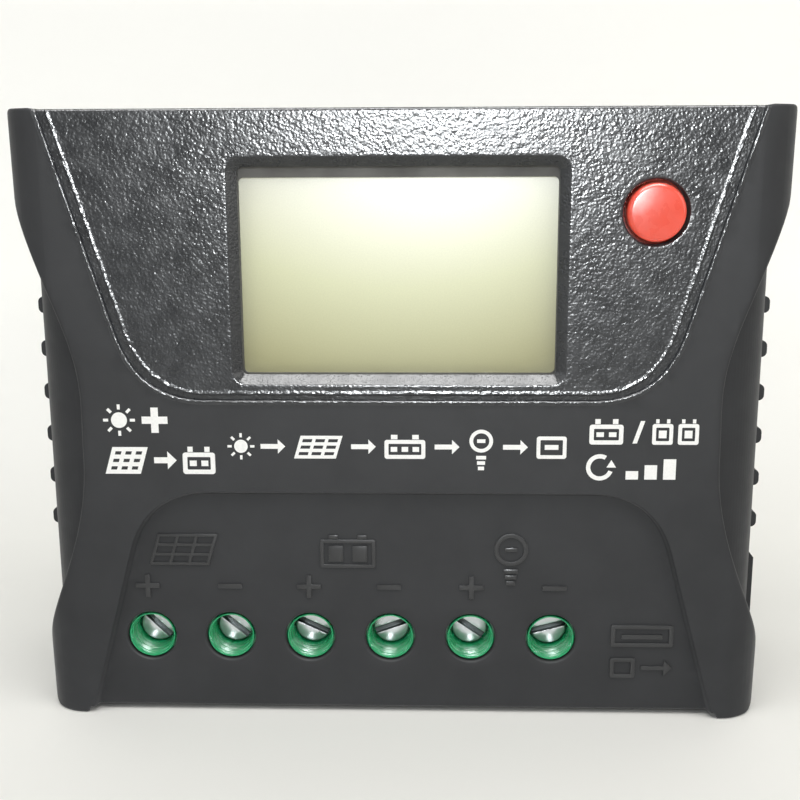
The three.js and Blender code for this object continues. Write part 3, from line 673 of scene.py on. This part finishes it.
OUTLINE = cover_outline()
FIELD = field_outline()
FIELD_INNER = field_outline(GROOVE_WIDTH, SIDE_GROOVE_WIDTH)
PANEL = panel_outline()
WINDOW = window_outline()
BEVEL_RIM = moved_inward(WINDOW, -WINDOW_BEVEL)
COARSE, FINE = 1.6, 0.6
HOLES = [(BUTTON_XZ, BUTTON_HOLE, BUTTON_HOLE_EDGE)]
HOLES += [(centre, TERMINAL_HOLE, TERMINAL_HOLE_EDGE) for centre in TERMINAL_XZ]
ROUNDING = [1 - math.cos(math.radians(angle)) for angle in (20, 40, 65, 90)]
SEAM = 0.02


def smooth_step(value):
    t = np.clip(value, 0, 1)
    return t * t * (3 - 2 * t)


def round_over(distance, radius):
    """How far a rounded edge has fallen, at a distance in from the edge."""
    left = np.clip(radius - distance, 0, radius)
    return radius - np.sqrt(np.maximum(radius**2 - left**2, 0))


def upright(x, draft=False):
    """A line from below the cover to above it; with draft it leans the way the wings do."""
    ends = []
    for z in (FOOT_Z - 5, HUMP_Z + 5):
        lean = wing_x(z) / WING_TOP_X if draft else 1
        ends.append((x * lean, z))
    return np.array((*ends, ends[0]))


def front_loops():
    """Every line along which the front surface bends."""
    shares = np.linspace(0, 1, 5)
    coarse = [moved_inward(OUTLINE, EDGE_RADIUS * share) for share in (0, *ROUNDING)]
    coarse += [moved_inward(PANEL, PANEL_SLOPE * share) for share in shares]
    fine = [moved_inward(FIELD_INNER, -GROOVE_SLOPE * share) for share in shares]
    fine += [moved_inward(FIELD, GROOVE_SLOPE * share) for share in shares]
    fine += [moved_inward(FIELD, -BEAD_WIDTH * share) for share in shares[1:]]
    fine += [moved_inward(FIELD_INNER, BEAD_WIDTH * share) for share in shares[1:]]
    rim = BEVEL_ROUNDING
    bevel_steps = (-rim, 0.0, rim, WINDOW_BEVEL - rim, WINDOW_BEVEL)
    fine += [moved_inward(BEVEL_RIM, step) for step in bevel_steps]
    loops = [subdivided(loop, COARSE) for loop in coarse] + [subdivided(loop, FINE) for loop in fine]
    for centre, radius, edge in HOLES:
        loops += [circle(centre, radius)]
        loops += [circle(centre, radius + edge * share) for share in ROUNDING]
    for degrees in range(0, 81, 8):
        x = WING_TOP_X - WING_ROLL + WING_ROLL * math.sin(math.radians(degrees))
        loops += [subdivided(upright(side * x, True), 2.5) for side in (-1, 1)]
    return loops


def post_loops(centre, radius, bore, steps):
    radii = (radius + SEAM, radius - SEAM, bore + SEAM, bore - SEAM)
    return [circle(centre, r, steps) for r in radii]


def back_loops():
    """Every line along which the rear surface of the cover steps or bends."""
    loops = []
    shoulder_x = CAVITY_X - CAVITY_ROLL
    bends = [WING_INNER_X - SEAM, WING_INNER_X + SEAM]
    for degrees in (0, 15, 30, 45):
        bends.append(shoulder_x + CAVITY_ROLL * math.sin(math.radians(degrees)))
    for x in bends:
        loops += [subdivided(upright(side * x), FINE) for side in (-1, 1)]
    for z in (CAVITY_TOP_Z, CAVITY_BOTTOM_Z):
        for level in (z - SEAM, z + SEAM):
            across = np.array(((-70, level), (70, level), (-70, level)))
            loops.append(subdivided(across, GRAIN_STEP))
    for centre in COVER_POSTS:
        loops += post_loops(centre, COVER_POST, COVER_BORE, 24)
    for centre in DISPLAY_POSTS:
        loops += post_loops(centre, DISPLAY_POST, DISPLAY_BORE, 20)
    for (x0, z0), (x1, z1) in wire_notches() + [port_notch()]:
        for side in (-SEAM, SEAM):
            loops.append(rounded_rectangle(x0 - side, x1 + side, z0 - side, z1 + side, 0.05, 1))
    return loops


def wire_notches():
    low_z, half = FOOT_Z - 3, WIRE_NOTCH_HALF
    return [((x - half, low_z), (x + half, CAVITY_BOTTOM_Z)) for x, _ in TERMINAL_XZ]


def port_notch():
    return (WING_INNER_X - 1, -44.3), (WING_TOP_X + 3, -23.7)


def hexagonal_grid(step, x_reach, z_low, z_high):
    rows = np.arange(z_low, z_high, step * 0.866)
    points = []
    for number, z in enumerate(rows):
        shift = step / 2 * (number % 2)
        xs = np.arange(-x_reach + shift, x_reach, step)
        points.append(np.column_stack((xs, np.full(len(xs), z))))
    return np.vstack(points)


def clear_of_holes(points, margin):
    clear = depth_inside(points, BEVEL_RIM) < -margin
    for centre, radius, edge in HOLES:
        clear &= distance_from(points, centre) > radius + edge + margin
    return clear


def grain_points():
    points = hexagonal_grid(GRAIN_STEP, 56, FIELD_BOTTOM_Z, TOP_Z - 0.7)
    points = points[inside(points, FIELD_INNER)]
    points = points[distance_to(points, FIELD_INNER) > BEAD_WIDTH + 0.15]
    return points[clear_of_holes(points, 0.35)]


def plain_points(step):
    points = hexagonal_grid(step, WING_TOP_X, FOOT_Z, HUMP_Z)
    points = points[depth_inside(points, OUTLINE) > 1.0]
    points = points[clear_of_holes(points, 0.8)]
    points = points[np.abs(points[:, 0]) < WING_TOP_X - WING_ROLL - 1]
    return points[depth_inside(points, FIELD) < -1]


def waves(point, per_mm, layer):
    x, z = point
    return noise.noise(Vector((x * per_mm, z * per_mm, layer)))


def grain(points):
    """Pebbled bumps in the field round the display, fading out at its borders."""
    heights = np.zeros(len(points))
    reach = depth_inside(points, FIELD_INNER) - BEAD_WIDTH
    reach = np.minimum(reach, -depth_inside(points, BEVEL_RIM))
    reach = np.minimum(reach, depth_inside(points, OUTLINE) - EDGE_RADIUS)
    centre, radius, edge = HOLES[0]
    reach = np.minimum(reach, distance_from(points, centre) - radius - edge)
    fade = smooth_step(reach / 0.5)
    for i in np.flatnonzero(fade > 0):
        coarse, fine = waves(points[i], COARSE_GRAIN, 0.0), waves(points[i], FINE_GRAIN, 7.0)
        heights[i] = GRAIN_HEIGHT * fade[i] * (coarse + FINE_GRAIN_SHARE * fine)
    return heights


def edge_drop(value):
    """The fall of a quarter-round edge, from 0 at its top to 1 at its foot."""
    t = np.clip(value, 0, 1)
    return 1 - np.sqrt(1 - t * t)


def groove_drop(points):
    """How far the surface has fallen into the groove, from 0 outside it to 1 on its floor."""
    outer = edge_drop(depth_inside(points, FIELD) / GROOVE_SLOPE)
    inner = edge_drop(-depth_inside(points, FIELD_INNER) / GROOVE_SLOPE)
    return outer * inner


def beads(points):
    """The rounded lips along both borders of the groove, slightly uneven."""
    outer = smooth_step(1 + depth_inside(points, FIELD) / BEAD_WIDTH)
    inner = smooth_step(1 - depth_inside(points, FIELD_INNER) / BEAD_WIDTH)
    heights = BEAD_HEIGHT * outer * inner * (1 - groove_drop(points))
    for i in np.flatnonzero(heights):
        heights[i] *= 1 + BEAD_UNEVENNESS * waves(points[i], BEAD_WAVES, 3.0)
    return heights


def cover_front(points):
    """The depth of the cover's front surface at points of the front view."""
    x = np.abs(points[:, 0]) * WING_TOP_X / wing_x(points[:, 1])
    y = np.full(len(points), FRONT_Y)
    over = np.clip(x - (WING_TOP_X - WING_ROLL), 0, WING_ROLL)
    y += WING_ROLL - np.sqrt(WING_ROLL**2 - over**2)
    y += round_over(depth_inside(points, OUTLINE), EDGE_RADIUS)
    y += GROOVE_DEPTH * groove_drop(points)
    y += PANEL_DEPTH * smooth_step(depth_inside(points, PANEL) / PANEL_SLOPE)
    into_bevel = depth_inside(points, BEVEL_RIM)
    rim = BEVEL_ROUNDING
    y += np.where(into_bevel > rim, into_bevel, np.clip(into_bevel + rim, 0, None) ** 2 / (4 * rim))
    for centre, radius, edge in HOLES:
        y += round_over(distance_from(points, centre) - radius, edge)
    return y - grain(points) - beads(points)


def cover_back(points):
    """The depth of the cover's rear surface: cavity, skirt, notches and posts."""
    x, z = np.abs(points[:, 0]), points[:, 1]
    y = np.full(len(points), FACE_BACK_Y)
    over = np.clip(x - (CAVITY_X - CAVITY_ROLL), 0, CAVITY_ROLL)
    y += CAVITY_ROLL - np.sqrt(CAVITY_ROLL**2 - over**2)
    skirt = (x > WING_INNER_X) | (z > CAVITY_TOP_Z) | (z < CAVITY_BOTTOM_Z)
    y[skirt] = SKIRT_BACK_Y
    for (x0, z0), (x1, z1) in wire_notches():
        y[(points[:, 0] > x0) & (points[:, 0] < x1) & (z > z0) & (z < z1)] = WIRE_NOTCH_Y
    (x0, z0), (x1, z1) = port_notch()
    y[(points[:, 0] > WING_INNER_X) & (z > z0) & (z < z1)] = PORT_NOTCH_Y
    for posts, radius, bore, end_y, bore_y in (
        (COVER_POSTS, COVER_POST, COVER_BORE, POST_END_Y, COVER_BORE_Y),
        (DISPLAY_POSTS, DISPLAY_POST, DISPLAY_BORE, DISPLAY_POST_END_Y, DISPLAY_BORE_Y),
    ):
        for centre in posts:
            reach = distance_from(points, centre)
            y[reach < radius] = end_y
            y[reach < bore] = bore_y
    return y


def trimmed(corners, triangles):
    """Only the triangles on the cover's face, without its window and holes."""
    middles = corners[triangles].mean(axis=1)
    kept = inside(middles, OUTLINE) & ~inside(middles, WINDOW)
    for centre, radius, _ in HOLES:
        kept &= ~inside(middles, circle(centre, radius))
    return triangles[kept]


def front_cover():
    lines = front_loops() + back_loops()
    points, triangles = triangulate(lines, np.vstack((grain_points(), plain_points(2.2))))
    triangles = trimmed(points, triangles)
    back_points, back_triangles = triangulate(lines)
    back_triangles = trimmed(back_points, back_triangles)
    front, back = placed(points, cover_front(points)), placed(back_points, cover_back(back_points))
    count = len(front)
    found = {tuple(key): i + count for i, key in enumerate(np.round(back_points, 3).tolist())}
    keys = [tuple(key) for key in np.round(points, 3).tolist()]
    faces = [tuple(t) for t in triangles.tolist()]
    faces += [(c + count, b + count, a + count) for a, b, c in back_triangles.tolist()]
    faces += [(b, a, found[keys[a]], found[keys[b]]) for a, b in boundary_edges(triangles)]
    vertices, faces = without_loose(np.vstack((front, back)), faces)
    piece = make_object("cover", vertices, faces, [CASE, GRAINED], "case", "case_plastic", 40.0)
    middles = points[triangles].mean(axis=1)
    grained = inside(middles, moved_inward(FIELD, -BEAD_WIDTH)) & ~inside(middles, WINDOW)
    indices = np.zeros(len(faces), np.int32)
    indices[:len(triangles)] = grained
    piece.data.polygons.foreach_set("material_index", indices)
    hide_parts("front_cover")


front_cover()

# ---- button


def button_cap():
    top, back = button_low.y, button_high.y
    radius, edge, crown = 4.5, 0.8, 0.22
    profile = [(0, top), (1.2, top + crown * 0.1), (2.4, top + crown * 0.4)]
    profile += arc((radius - edge, top + crown + edge), edge, -90, 0, 6)
    flange = button_high.x - BUTTON_XZ[0]
    profile += [(radius, back - 1.1), (radius + 0.1, back - 1), (flange - 0.1, back - 1)]
    profile += [(flange, back - 0.9), (flange, back), (0, back)]
    data = lathe_data(profile, BUTTON_XZ, 96)
    piece = make_object("button", *data, [RED], "button", "red_plastic")
    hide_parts("button_cap")


button_cap()

# ---- terminals


def screw_profile(top, end, head):
    """A flat screw head on a plain shank, as (radius, y) points from front to back."""
    shank, seat = 1.9, SCREW_SEAT_Y
    profile = [(0, top), (1.5, top + 0.02)]
    profile += arc((head - 0.4, top + 0.45), 0.4, -80, 0, 6)
    profile += [(head, seat - 0.15), (head - 0.15, seat), (shank + 0.1, seat), (shank, seat + 0.1)]
    return profile + [(shank, end - 0.4), (shank - 0.4, end), (0, end)]


def slot_data(centre, top, degrees):
    """The box that cuts the slot across a screw's head."""
    vertices, faces = block_data((-4, top - 1, -SLOT_HALF), (4, top + SLOT_DEPTH, SLOT_HALF))
    turn = Matrix.Rotation(-math.radians(degrees), 3, "Y")
    offset = Vector((centre[0], 0, centre[1]))
    return [turn @ Vector(v) + offset for v in vertices], faces


def terminal_screw(number):
    """A slotted screw; the faces of its slot get a dark steel, which is painted shade in the slot."""
    node = f"terminal_screw_{number}"
    low, high = box_mm(node)
    centre = TERMINAL_XZ[number - 1]
    head, top = (high.x - low.x) / 2, low.y
    data = lathe_data(screw_profile(top, high.y, head), centre)
    piece = make_object(f"clamp_screw_{number}", *data, [STEEL], f"screw_{number}", "plated_steel")
    combine(piece, slot_data(centre, top, SLOT_ANGLES[number - 1]), "DIFFERENCE")
    dress(piece, STEEL, SLOT_SHADE_STEEL)
    soften(piece, 0.09)
    applied(piece)
    finish_shading(piece)
    # Faces inside the slot get the dark steel, as painted shade.
    for face in piece.data.polygons:
        x, y, z = face.center / MM
        reach = math.hypot(x - centre[0], z - centre[1])
        in_slot = reach < head - 0.1 and top + 0.15 < y < SCREW_SEAT_Y - 0.1
        face.material_index = int(in_slot)
    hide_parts(node)


def bore_profile(top):
    """The stepped hole over a screw, as (radius, y) points."""
    bore = [(0, top - 1), (3.95, top - 1), (3.68, top + 0.1), (3.64, top + 1.1)]
    bore += [(3.52, top + 1.2), (3.5, top + 2.3), (3.4, top + 2.4), (3.38, top + 3.4)]
    seat = SCREW_SEAT_Y + 0.1
    return bore + [(3.3, top + 3.5), (3.3, seat), (2.2, seat), (2.2, -30), (0, -30)]


def block_cavities(x, z, bottom, top):
    """A clamp's chamber, the wire's way into it and the contact bar's way out."""
    chamber = (x - 5.5, -31.1, z - 5.3), (x + 5.5, -15.2, z + 5.3)
    wire_way = (x - 4.3, -24.6, bottom - 1), (x + 4.3, -15.9, z)
    bar_way = (x - 3.3, -24, z), (x + 3.3, -21.9, top + 1)
    return [block_data(*corners) for corners in (chamber, wire_way, bar_way)]


def terminal_block(number):
    """A two-way block: a softened body, two collars, and the holes and chambers behind them."""
    node = f"terminal_block_{number}"
    low, high = box_mm(node)
    centres = TERMINAL_XZ[2 * number - 2: 2 * number]
    front, collar = low.y + 1.3, 3.9
    root = front + 0.5
    data = block_data((low.x, front, low.z), (high.x, high.y, high.z))
    piece = make_object(f"green_block_{number}", *data, [GREEN], "case", "green_plastic")
    soften(piece, 0.3)
    applied(piece)
    profile = [(0, low.y), (collar - 0.12, low.y), (collar, low.y + 0.12), (collar, root), (0, root)]
    for centre in centres:
        combine(piece, lathe_data(profile, centre, 72), "UNION")
    for x, z in centres:
        combine(piece, lathe_data(bore_profile(low.y), (x, z), 72), "DIFFERENCE")
        for cavity in block_cavities(x, z, low.z, high.z):
            combine(piece, cavity, "DIFFERENCE")
    dress(piece, GREEN)
    finish_shading(piece)
    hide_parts(node)


for terminal in TERMINALS:
    terminal_screw(terminal)
for block_number in (1, 2, 3):
    terminal_block(block_number)

# ---- pan-head screws


def family(node):
    """A node's name without its number."""
    return node.rstrip("0123456789_")


def pan_profile(head, length):
    """A pan head on a plain shank, as (radius, depth behind the top of the head) points."""
    height, shank = 1.3, head * 0.46
    profile = [(0, 0), (head * 0.35, 0.02), (head * 0.7, 0.14)]
    profile += arc((head - 0.45, 0.65), 0.45, -65, 0, 6)
    profile += [(head, height - 0.1), (head - 0.1, height), (shank, height)]
    return profile + [(shank, length - 0.5), (shank - 0.4, length), (0, length)]


def pan_screw(node, recess_depth=0.7):
    """A cross-recessed screw in the box of its CAD node, whose head may face either way."""
    low, high = box_mm(node)
    centre = centre_xz(node)
    head = (high.x - low.x) / 2
    corners = [v.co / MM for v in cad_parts[node].data.vertices]
    widest = max(abs(corner.x - centre[0]) for corner in corners if corner.y < low.y + 0.2)
    profile = pan_profile(head, high.y - low.y)
    if widest > head * 0.9:
        profile = [(r, low.y + y) for r, y in profile]
        recess = (low.y - 1, low.y + recess_depth)
    else:
        profile = [(r, high.y - y) for r, y in reversed(profile)]
        recess = (high.y - recess_depth, high.y + 1)
    data = lathe_data(profile, centre, 48)
    piece = make_object(node + "_fine", *data, [STEEL], "case", "plated_steel")
    for half_x, half_z in ((0.3, head * 0.6), (head * 0.6, 0.3)):
        start = (centre[0] - half_x, recess[0], centre[1] - half_z)
        end = (centre[0] + half_x, recess[1], centre[1] + half_z)
        combine(piece, block_data(start, end), "DIFFERENCE")
    dress(piece, STEEL)
    finish_shading(piece)
    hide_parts(node)


PAN_SCREWS = ("case_screw", "board_screw", "display_screw", "clamp_bar_screw")
for screw_node in sorted(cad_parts):
    if family(screw_node) in PAN_SCREWS:
        pan_screw(screw_node)

# ---- printed and raised marks

PRINT_FRONT_Y = FRONT_Y - 0.03
PRINT_BACK_Y = FRONT_Y + 0.02
MARK_FRONT_Y = PANEL_Y - 0.3
MARK_BACK_Y = PANEL_Y + 0.3


def rectangle(x0, x1, z0, z1):
    return np.array(line((x0, z0), (x1, z0), (x1, z1), (x0, z1)))


def frame_loops(x0, x1, z0, z1, wall, radius=0.4):
    outer = rounded_rectangle(x0, x1, z0, z1, radius, 4)
    inner = rounded_rectangle(x0 + wall, x1 - wall, z0 + wall, z1 - wall, radius / 3, 3)
    return [outer, inner]


def plus_loop(x, z, size, wall):
    half, thin = size / 2, wall / 2
    corner = ((thin, half), (thin, thin), (half, thin))
    points = []
    for c, s in ((1, 0), (0, -1), (-1, 0), (0, 1)):
        points += [(x + c * a - s * b, z + s * a + c * b) for a, b in corner]
    return np.array(points)[::-1]


def minus_loop(x, z, size, wall):
    return rectangle(x - size / 2, x + size / 2, z - wall / 2, z + wall / 2)


def arrow_loop(x0, x1, z, wall, head):
    neck = x1 - head
    return np.array(line(
        (x0, z - wall / 2), (neck, z - wall / 2), (neck, z - head), (x1, z),
        (neck, z + head), (neck, z + wall / 2), (x0, z + wall / 2),
    ))


def sun_loops(x, z, radius):
    loops = [circle((x, z), radius * 0.5, 32)]
    for k in range(8):
        angle = k * math.pi / 4
        along = np.array((math.cos(angle), math.sin(angle)))
        across = np.array((-along[1], along[0])) * radius * 0.09
        near, far = along * radius * 0.68, along * radius
        ray = (near - across, far - across, far + across, near + across)
        loops.append(np.array((x, z)) + np.array(ray))
    return loops


def slanted(loops, base_z, slope):
    return [loop + (loop[:, 1:] - base_z) * (slope, 0) for loop in loops]


def panel_symbol(x0, x1, z0, z1, wall, slope=0.3, columns=3, rows=3):
    """A slanted solar panel: a frame divided into cells."""
    loops = [rectangle(x0, x1, z0, z1)]
    width = (x1 - x0 - wall) / columns
    height = (z1 - z0 - wall) / rows
    for column in range(columns):
        for row in range(rows):
            left, low = x0 + wall + column * width, z0 + wall + row * height
            loops.append(rectangle(left, left + width - wall, low, low + height - wall))
    return slanted(loops, z0, slope)


def battery_symbol(x0, x1, z0, z1, wall, bars=2):
    """A battery with two posts and level bars."""
    post = (x1 - x0) * 0.16
    top = z1 - wall * 1.3
    loops = frame_loops(x0, x1, z0, top, wall, wall * 0.6)
    for x in (x0 + post, x1 - 2 * post):
        loops.append(rectangle(x, x + post, top + 0.1, z1))
    inner = (x1 - x0 - 2 * wall) / bars
    for bar in range(bars):
        left = x0 + wall + bar * inner + inner * 0.2
        loops.append(rectangle(left, left + inner * 0.6, z0 + 1.8 * wall, top - 1.8 * wall))
    return loops


def lamp_symbol(x, z, radius, wall):
    """A lamp bulb: a ring, a bar for its filament, and three bars for its cap."""
    loops = [circle((x, z), radius, 40), circle((x, z), radius - wall, 40)]
    loops.append(rectangle(x - radius * 0.35, x + radius * 0.35, z - wall / 2, z + wall / 2))
    for step in range(3):
        low = z - radius - 0.25 - (step + 1) * wall * 1.5
        half = radius * (0.42 - 0.08 * step)
        loops.append(rectangle(x - half, x + half, low, low + wall))
    return loops


def turn_arrow(x, z, radius, wall):
    """Three quarters of a ring with an arrow head, for automatic operation."""
    outer = arc((x, z), radius, 60, 340, 28)
    inner = arc((x, z), radius - wall, 340, 60, 28)
    tip = arc((x, z), radius - wall / 2, -2, -2, 0)[0]
    head = np.array((tip + (-wall * 1.1, -0.2), tip + (wall * 1.1, -0.2), tip + (0.0, wall * 1.5)))
    return [np.array(outer + inner), head + (0.0, 0.25)]


def slash_loop(x, low, high):
    """A plain stroke that parts two symbols."""
    return np.array(line((x - 0.5, low), (x + 0.2, low), (x + 1.4, high), (x + 0.7, high)))


def left_print():
    loops = sun_loops(-45.3, 1.6, 2.6) + [plus_loop(-39.5, 1.6, 4.2, 1.2)]
    loops += panel_symbol(-48.0, -42.2, -7.4, -2.9, 0.7)
    loops += [arrow_loop(-39.9, -36.2, -5.1, 1.0, 1.5)]
    return loops + battery_symbol(-35.2, -29.9, -7.4, -2.8, 0.75)


def middle_print():
    row_z, arrow_length = -2.7, 4.0
    loops = sun_loops(-25.6, row_z, 2.2) + panel_symbol(-17.0, -10.2, -4.7, -0.9, 0.55)
    loops += [arrow_loop(x, x + arrow_length, row_z, 0.8, 1.2) for x in (-22.4, -7.7, 5.8, 16.8)]
    loops += battery_symbol(-2.3, 4.3, -4.7, -0.7, 0.65, 3)
    loops += lamp_symbol(13.3, -1.7, 1.9, 0.6)
    return loops + frame_loops(22.2, 27.0, -4.6, -0.9, 0.6) + [rectangle(23.5, 25.7, -3.1, -2.3)]


def right_print():
    low, high = -2.2, 2.0
    loops = battery_symbol(30.6, 36.0, low, high, 0.7) + [slash_loop(38.0, -2.0, 1.7)]
    for x in (40.6, 44.7):
        loops += battery_symbol(x, x + 3.3, low, high, 0.6, 1)
    loops += turn_arrow(32.4, -6.0, 2.2, 0.7)
    return loops + [rectangle(36.6 + 3 * k, 38.6 + 3 * k, -8.0, -6.6 + k) for k in range(3)]


def printed_marks():
    for side, loops in (("left", left_print()), ("middle", middle_print()), ("right", right_print())):
        data = relief_data(loops, PRINT_BACK_Y, PRINT_FRONT_Y)
        make_object(f"print_{side}", *data, [INK], "case", "white_plastic")


def raised_marks():
    signs_z, sign, wall = -27.3, 4.0, 0.8
    loops = panel_symbol(-41.9, -31.9, -23.6, -18.1, 0.5)
    loops += battery_symbol(-13.2, -4.0, -23.9, -18.2, 0.6, 2)
    loops += lamp_symbol(18.5, -20.6, 2.8, 0.7)
    loops += [plus_loop(x, signs_z, sign, wall) for x in (-42.4, -15.2, 12.0)]
    loops += [minus_loop(x, signs_z, sign, wall) for x in (-28.5, -1.75, 25.8)]
    loops += frame_loops(35.4, 45.8, -37.6, -33.7, 0.7) + [rectangle(37.2, 44.0, -36.2, -35.4)]
    loops += frame_loops(35.4, 39.6, -43.2, -39.6, 0.7) + [arrow_loop(40.6, 45.8, -41.4, 0.7, 1.4)]
    data = relief_data(loops, MARK_BACK_Y, MARK_FRONT_Y)
    piece = make_object("raised_marks", *data, [MARKS], "case", "case_plastic")
    soften(piece, 0.1)
    applied(piece)
    finish_shading(piece)


printed_marks()
raised_marks()

# ---- charging port contacts


def port_contacts():
    """Four contact strips on the tongue of the charging port."""
    low, high = box_mm("port_tongue")
    middle, pitch, half = (low.z + high.z) / 2, 2.3, 0.5
    parts = []
    for k in range(4):
        z = middle + (k - 1.5) * pitch
        parts.append(block_data((low.x + 4, -17.25, z - half), (high.x - 0.8, -17.05, z + half)))
    piece = make_object("port_contacts", *merged(*parts), [COPPER], "case", "copper_alloy")
    soften(piece, 0.05, 1)
    applied(piece)


port_contacts()

# ---- carried-over CAD nodes

CAD_FINISH = {
    "rear_case": (CASE, 0.35),
    "heat_sink": (ALUMINIUM, 0.25),
    "display_bezel": (BEZEL, 0.15),
    "display_glass": (GLASS, 0.05),
    "display_backlight": (WHITE, 0.2),
    "display_board": (BOARD, 0.1),
    "main_board": (BOARD, 0.1),
    "switch_plunger": (BLACK, 0.15),
    "switch_body": (BLACK, 0.2),
    "microcontroller": (BLACK, 0.08),
    "capacitor": (SLEEVE, 0.3),
    "inductor_core": (FERRITE, 0.2),
    "inductor_coil": (WINDING, 0.2),
    "display_socket": (WHITE, 0.15),
    "main_socket": (WHITE, 0.15),
    "link_cable": (CABLE, 0.05),
    "port_shell": (STEEL, 0.1),
    "port_tongue": (WHITE, 0.15),
    "power_transistor": (BLACK, 0.12),
    "clamp_bar": (STEEL, 0.15),
    "clamp": (STEEL, 0.2),
    "contact_bar": (COPPER, 0.15),
}


def dress_cad_nodes():
    for node, cad in sorted(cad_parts.items()):
        if cad.hide_render:
            continue
        material, edge = CAD_FINISH[family(node)]
        dress(cad, material)
        soften(cad, edge)


dress_cad_nodes()

# ---- floor, lights and camera


def stage_material():
    """Pale paper with painted light, which makes the wall lightest just above the floor and less
    light higher up; clear from behind or below.
    """
    material, tree, shader = new_material("pale_paper")
    height = add(tree, "ShaderNodeSeparateXYZ", {"Vector": place(tree)}).outputs["Z"]
    mottle = noise_field(tree, 60.0, 3.0)
    paper = mix_colour(tree, mottle, (0.79, 0.79, 0.765, 1.0), (0.84, 0.84, 0.815, 1.0))
    # Painted light: the paper colour is raised on the wall just above the floor and lowered again
    # higher up.
    above_floor = spread(tree, height, FOOT_Z * MM, 0.01)
    paper_with_painted_light = mix_colour(tree, above_floor, paper, (1.0, 1.0, 0.975, 1.0))
    up_wall = spread(tree, height, 0.01, 0.12)
    colour = mix_colour(tree, up_wall, paper_with_painted_light, (0.87, 0.87, 0.85, 1.0))
    feed(tree, shader, {"Base Color": colour, "Roughness": 0.7})
    behind = add(tree, "ShaderNodeNewGeometry").outputs["Backfacing"]
    clear = add(tree, "ShaderNodeBsdfTransparent").outputs["BSDF"]
    inputs = {0: behind, 1: shader.outputs["BSDF"], 2: clear}
    surface = add(tree, "ShaderNodeMixShader", inputs).outputs[0]
    tree.links.new(surface, tree.nodes["Material Output"].inputs["Surface"])
    return material


def backdrop():
    """A pale sweep: a floor that curves up into a wall behind the object."""
    reach, wall_y, radius, height = 900.0, 110.0, 60.0, 700.0
    bend_y, bend_z = wall_y - radius, FOOT_Z + radius
    profile = [(-reach, FOOT_Z)]
    for step in range(13):
        angle = math.radians(90 * step / 12)
        profile.append((bend_y + radius * math.sin(angle), bend_z - radius * math.cos(angle)))
    profile.append((wall_y, FOOT_Z + height))
    vertices = [(x, y, z) for y, z in profile for x in (-reach, reach)]
    faces = [(2 * i, 2 * i + 1, 2 * i + 3, 2 * i + 2) for i in range(len(profile) - 1)]
    piece = new_object("backdrop", new_mesh("backdrop", vertices, faces, [stage_material()]))
    piece.visible_shadow = False


CAMERA_X = 5.99
CAMERA_DISTANCE = 177.8
CAMERA_Z = 43.6
CAMERA_YAW = math.radians(-1.85)
CAMERA_PITCH = math.radians(12.23)
CAMERA_ROLL = math.radians(-0.26)
CAMERA_LENS = 51.18


def add_camera():
    data = bpy.data.cameras.new("camera")
    data.lens = CAMERA_LENS
    data.sensor_width = 36.0
    data.clip_start = 0.01
    camera = new_object("camera", data)
    sine, cosine, level = math.sin(CAMERA_YAW), math.cos(CAMERA_YAW), math.cos(CAMERA_PITCH)
    forward = Vector((sine * level, cosine * level, -math.sin(CAMERA_PITCH)))
    right = Vector((cosine, -sine, 0.0))
    up = right.cross(forward)
    c, s = math.cos(CAMERA_ROLL), math.sin(CAMERA_ROLL)
    rolled_right, rolled_up = right * c + up * s, up * c - right * s
    rotation = Matrix((rolled_right, rolled_up, -forward)).transposed().to_4x4()
    position = Vector((CAMERA_X, FRONT_Y - CAMERA_DISTANCE, CAMERA_Z)) * MM
    camera.matrix_world = Matrix.Translation(position) @ rotation
    bpy.context.scene.camera = camera


def area_light(name, place_mm, target_mm, size_mm, watts, colour):
    data = bpy.data.lights.new(name, "AREA")
    data.shape = "RECTANGLE"
    data.size, data.size_y = size_mm[0] * MM, size_mm[1] * MM
    data.energy = watts
    data.color = colour
    lamp = new_object(name, data)
    away = Vector(place_mm) - Vector(target_mm)
    lamp.rotation_euler = away.to_track_quat("Z", "Y").to_euler()
    lamp.location = Vector(place_mm) * MM
    return lamp


def add_lights():
    """Soft boxes above, beside and under the object, and two lamps that only show as reflections."""
    warm, cool, white = (1.0, 0.985, 0.95), (0.95, 0.98, 1.0), (1.0, 1.0, 1.0)
    middle = (0, -20, 0)
    area_light("soft_top", (0, -200, 430), middle, (500, 300), 1.5, warm)
    area_light("soft_left", (-420, -260, 160), middle, (300, 300), 0.5, cool)
    area_light("soft_right", (420, -220, 160), middle, (300, 300), 0.6, warm)
    area_light("underside", (0, -45, -420), (0, -30, -50), (260, 160), 0.8, white)
    flash = area_light("flash", (8, FRONT_Y - 185, 80), (0, FRONT_Y, 10), (30, 18), 1.15, cool)
    glow = area_light("glow", (0, -130, 400), middle, (400, 220), 3.2, white)
    for lamp in (flash, glow):
        lamp.visible_diffuse = False
    world = bpy.data.worlds.new("studio")
    world.use_nodes = True
    background = world.node_tree.nodes["Background"]
    feed(world.node_tree, background, {"Color": (1.0, 0.99, 0.96, 1.0), "Strength": 0.3})
    bpy.context.scene.world = world


bpy.context.scene.view_settings.view_transform = "Standard"
backdrop()
add_camera()
add_lights()
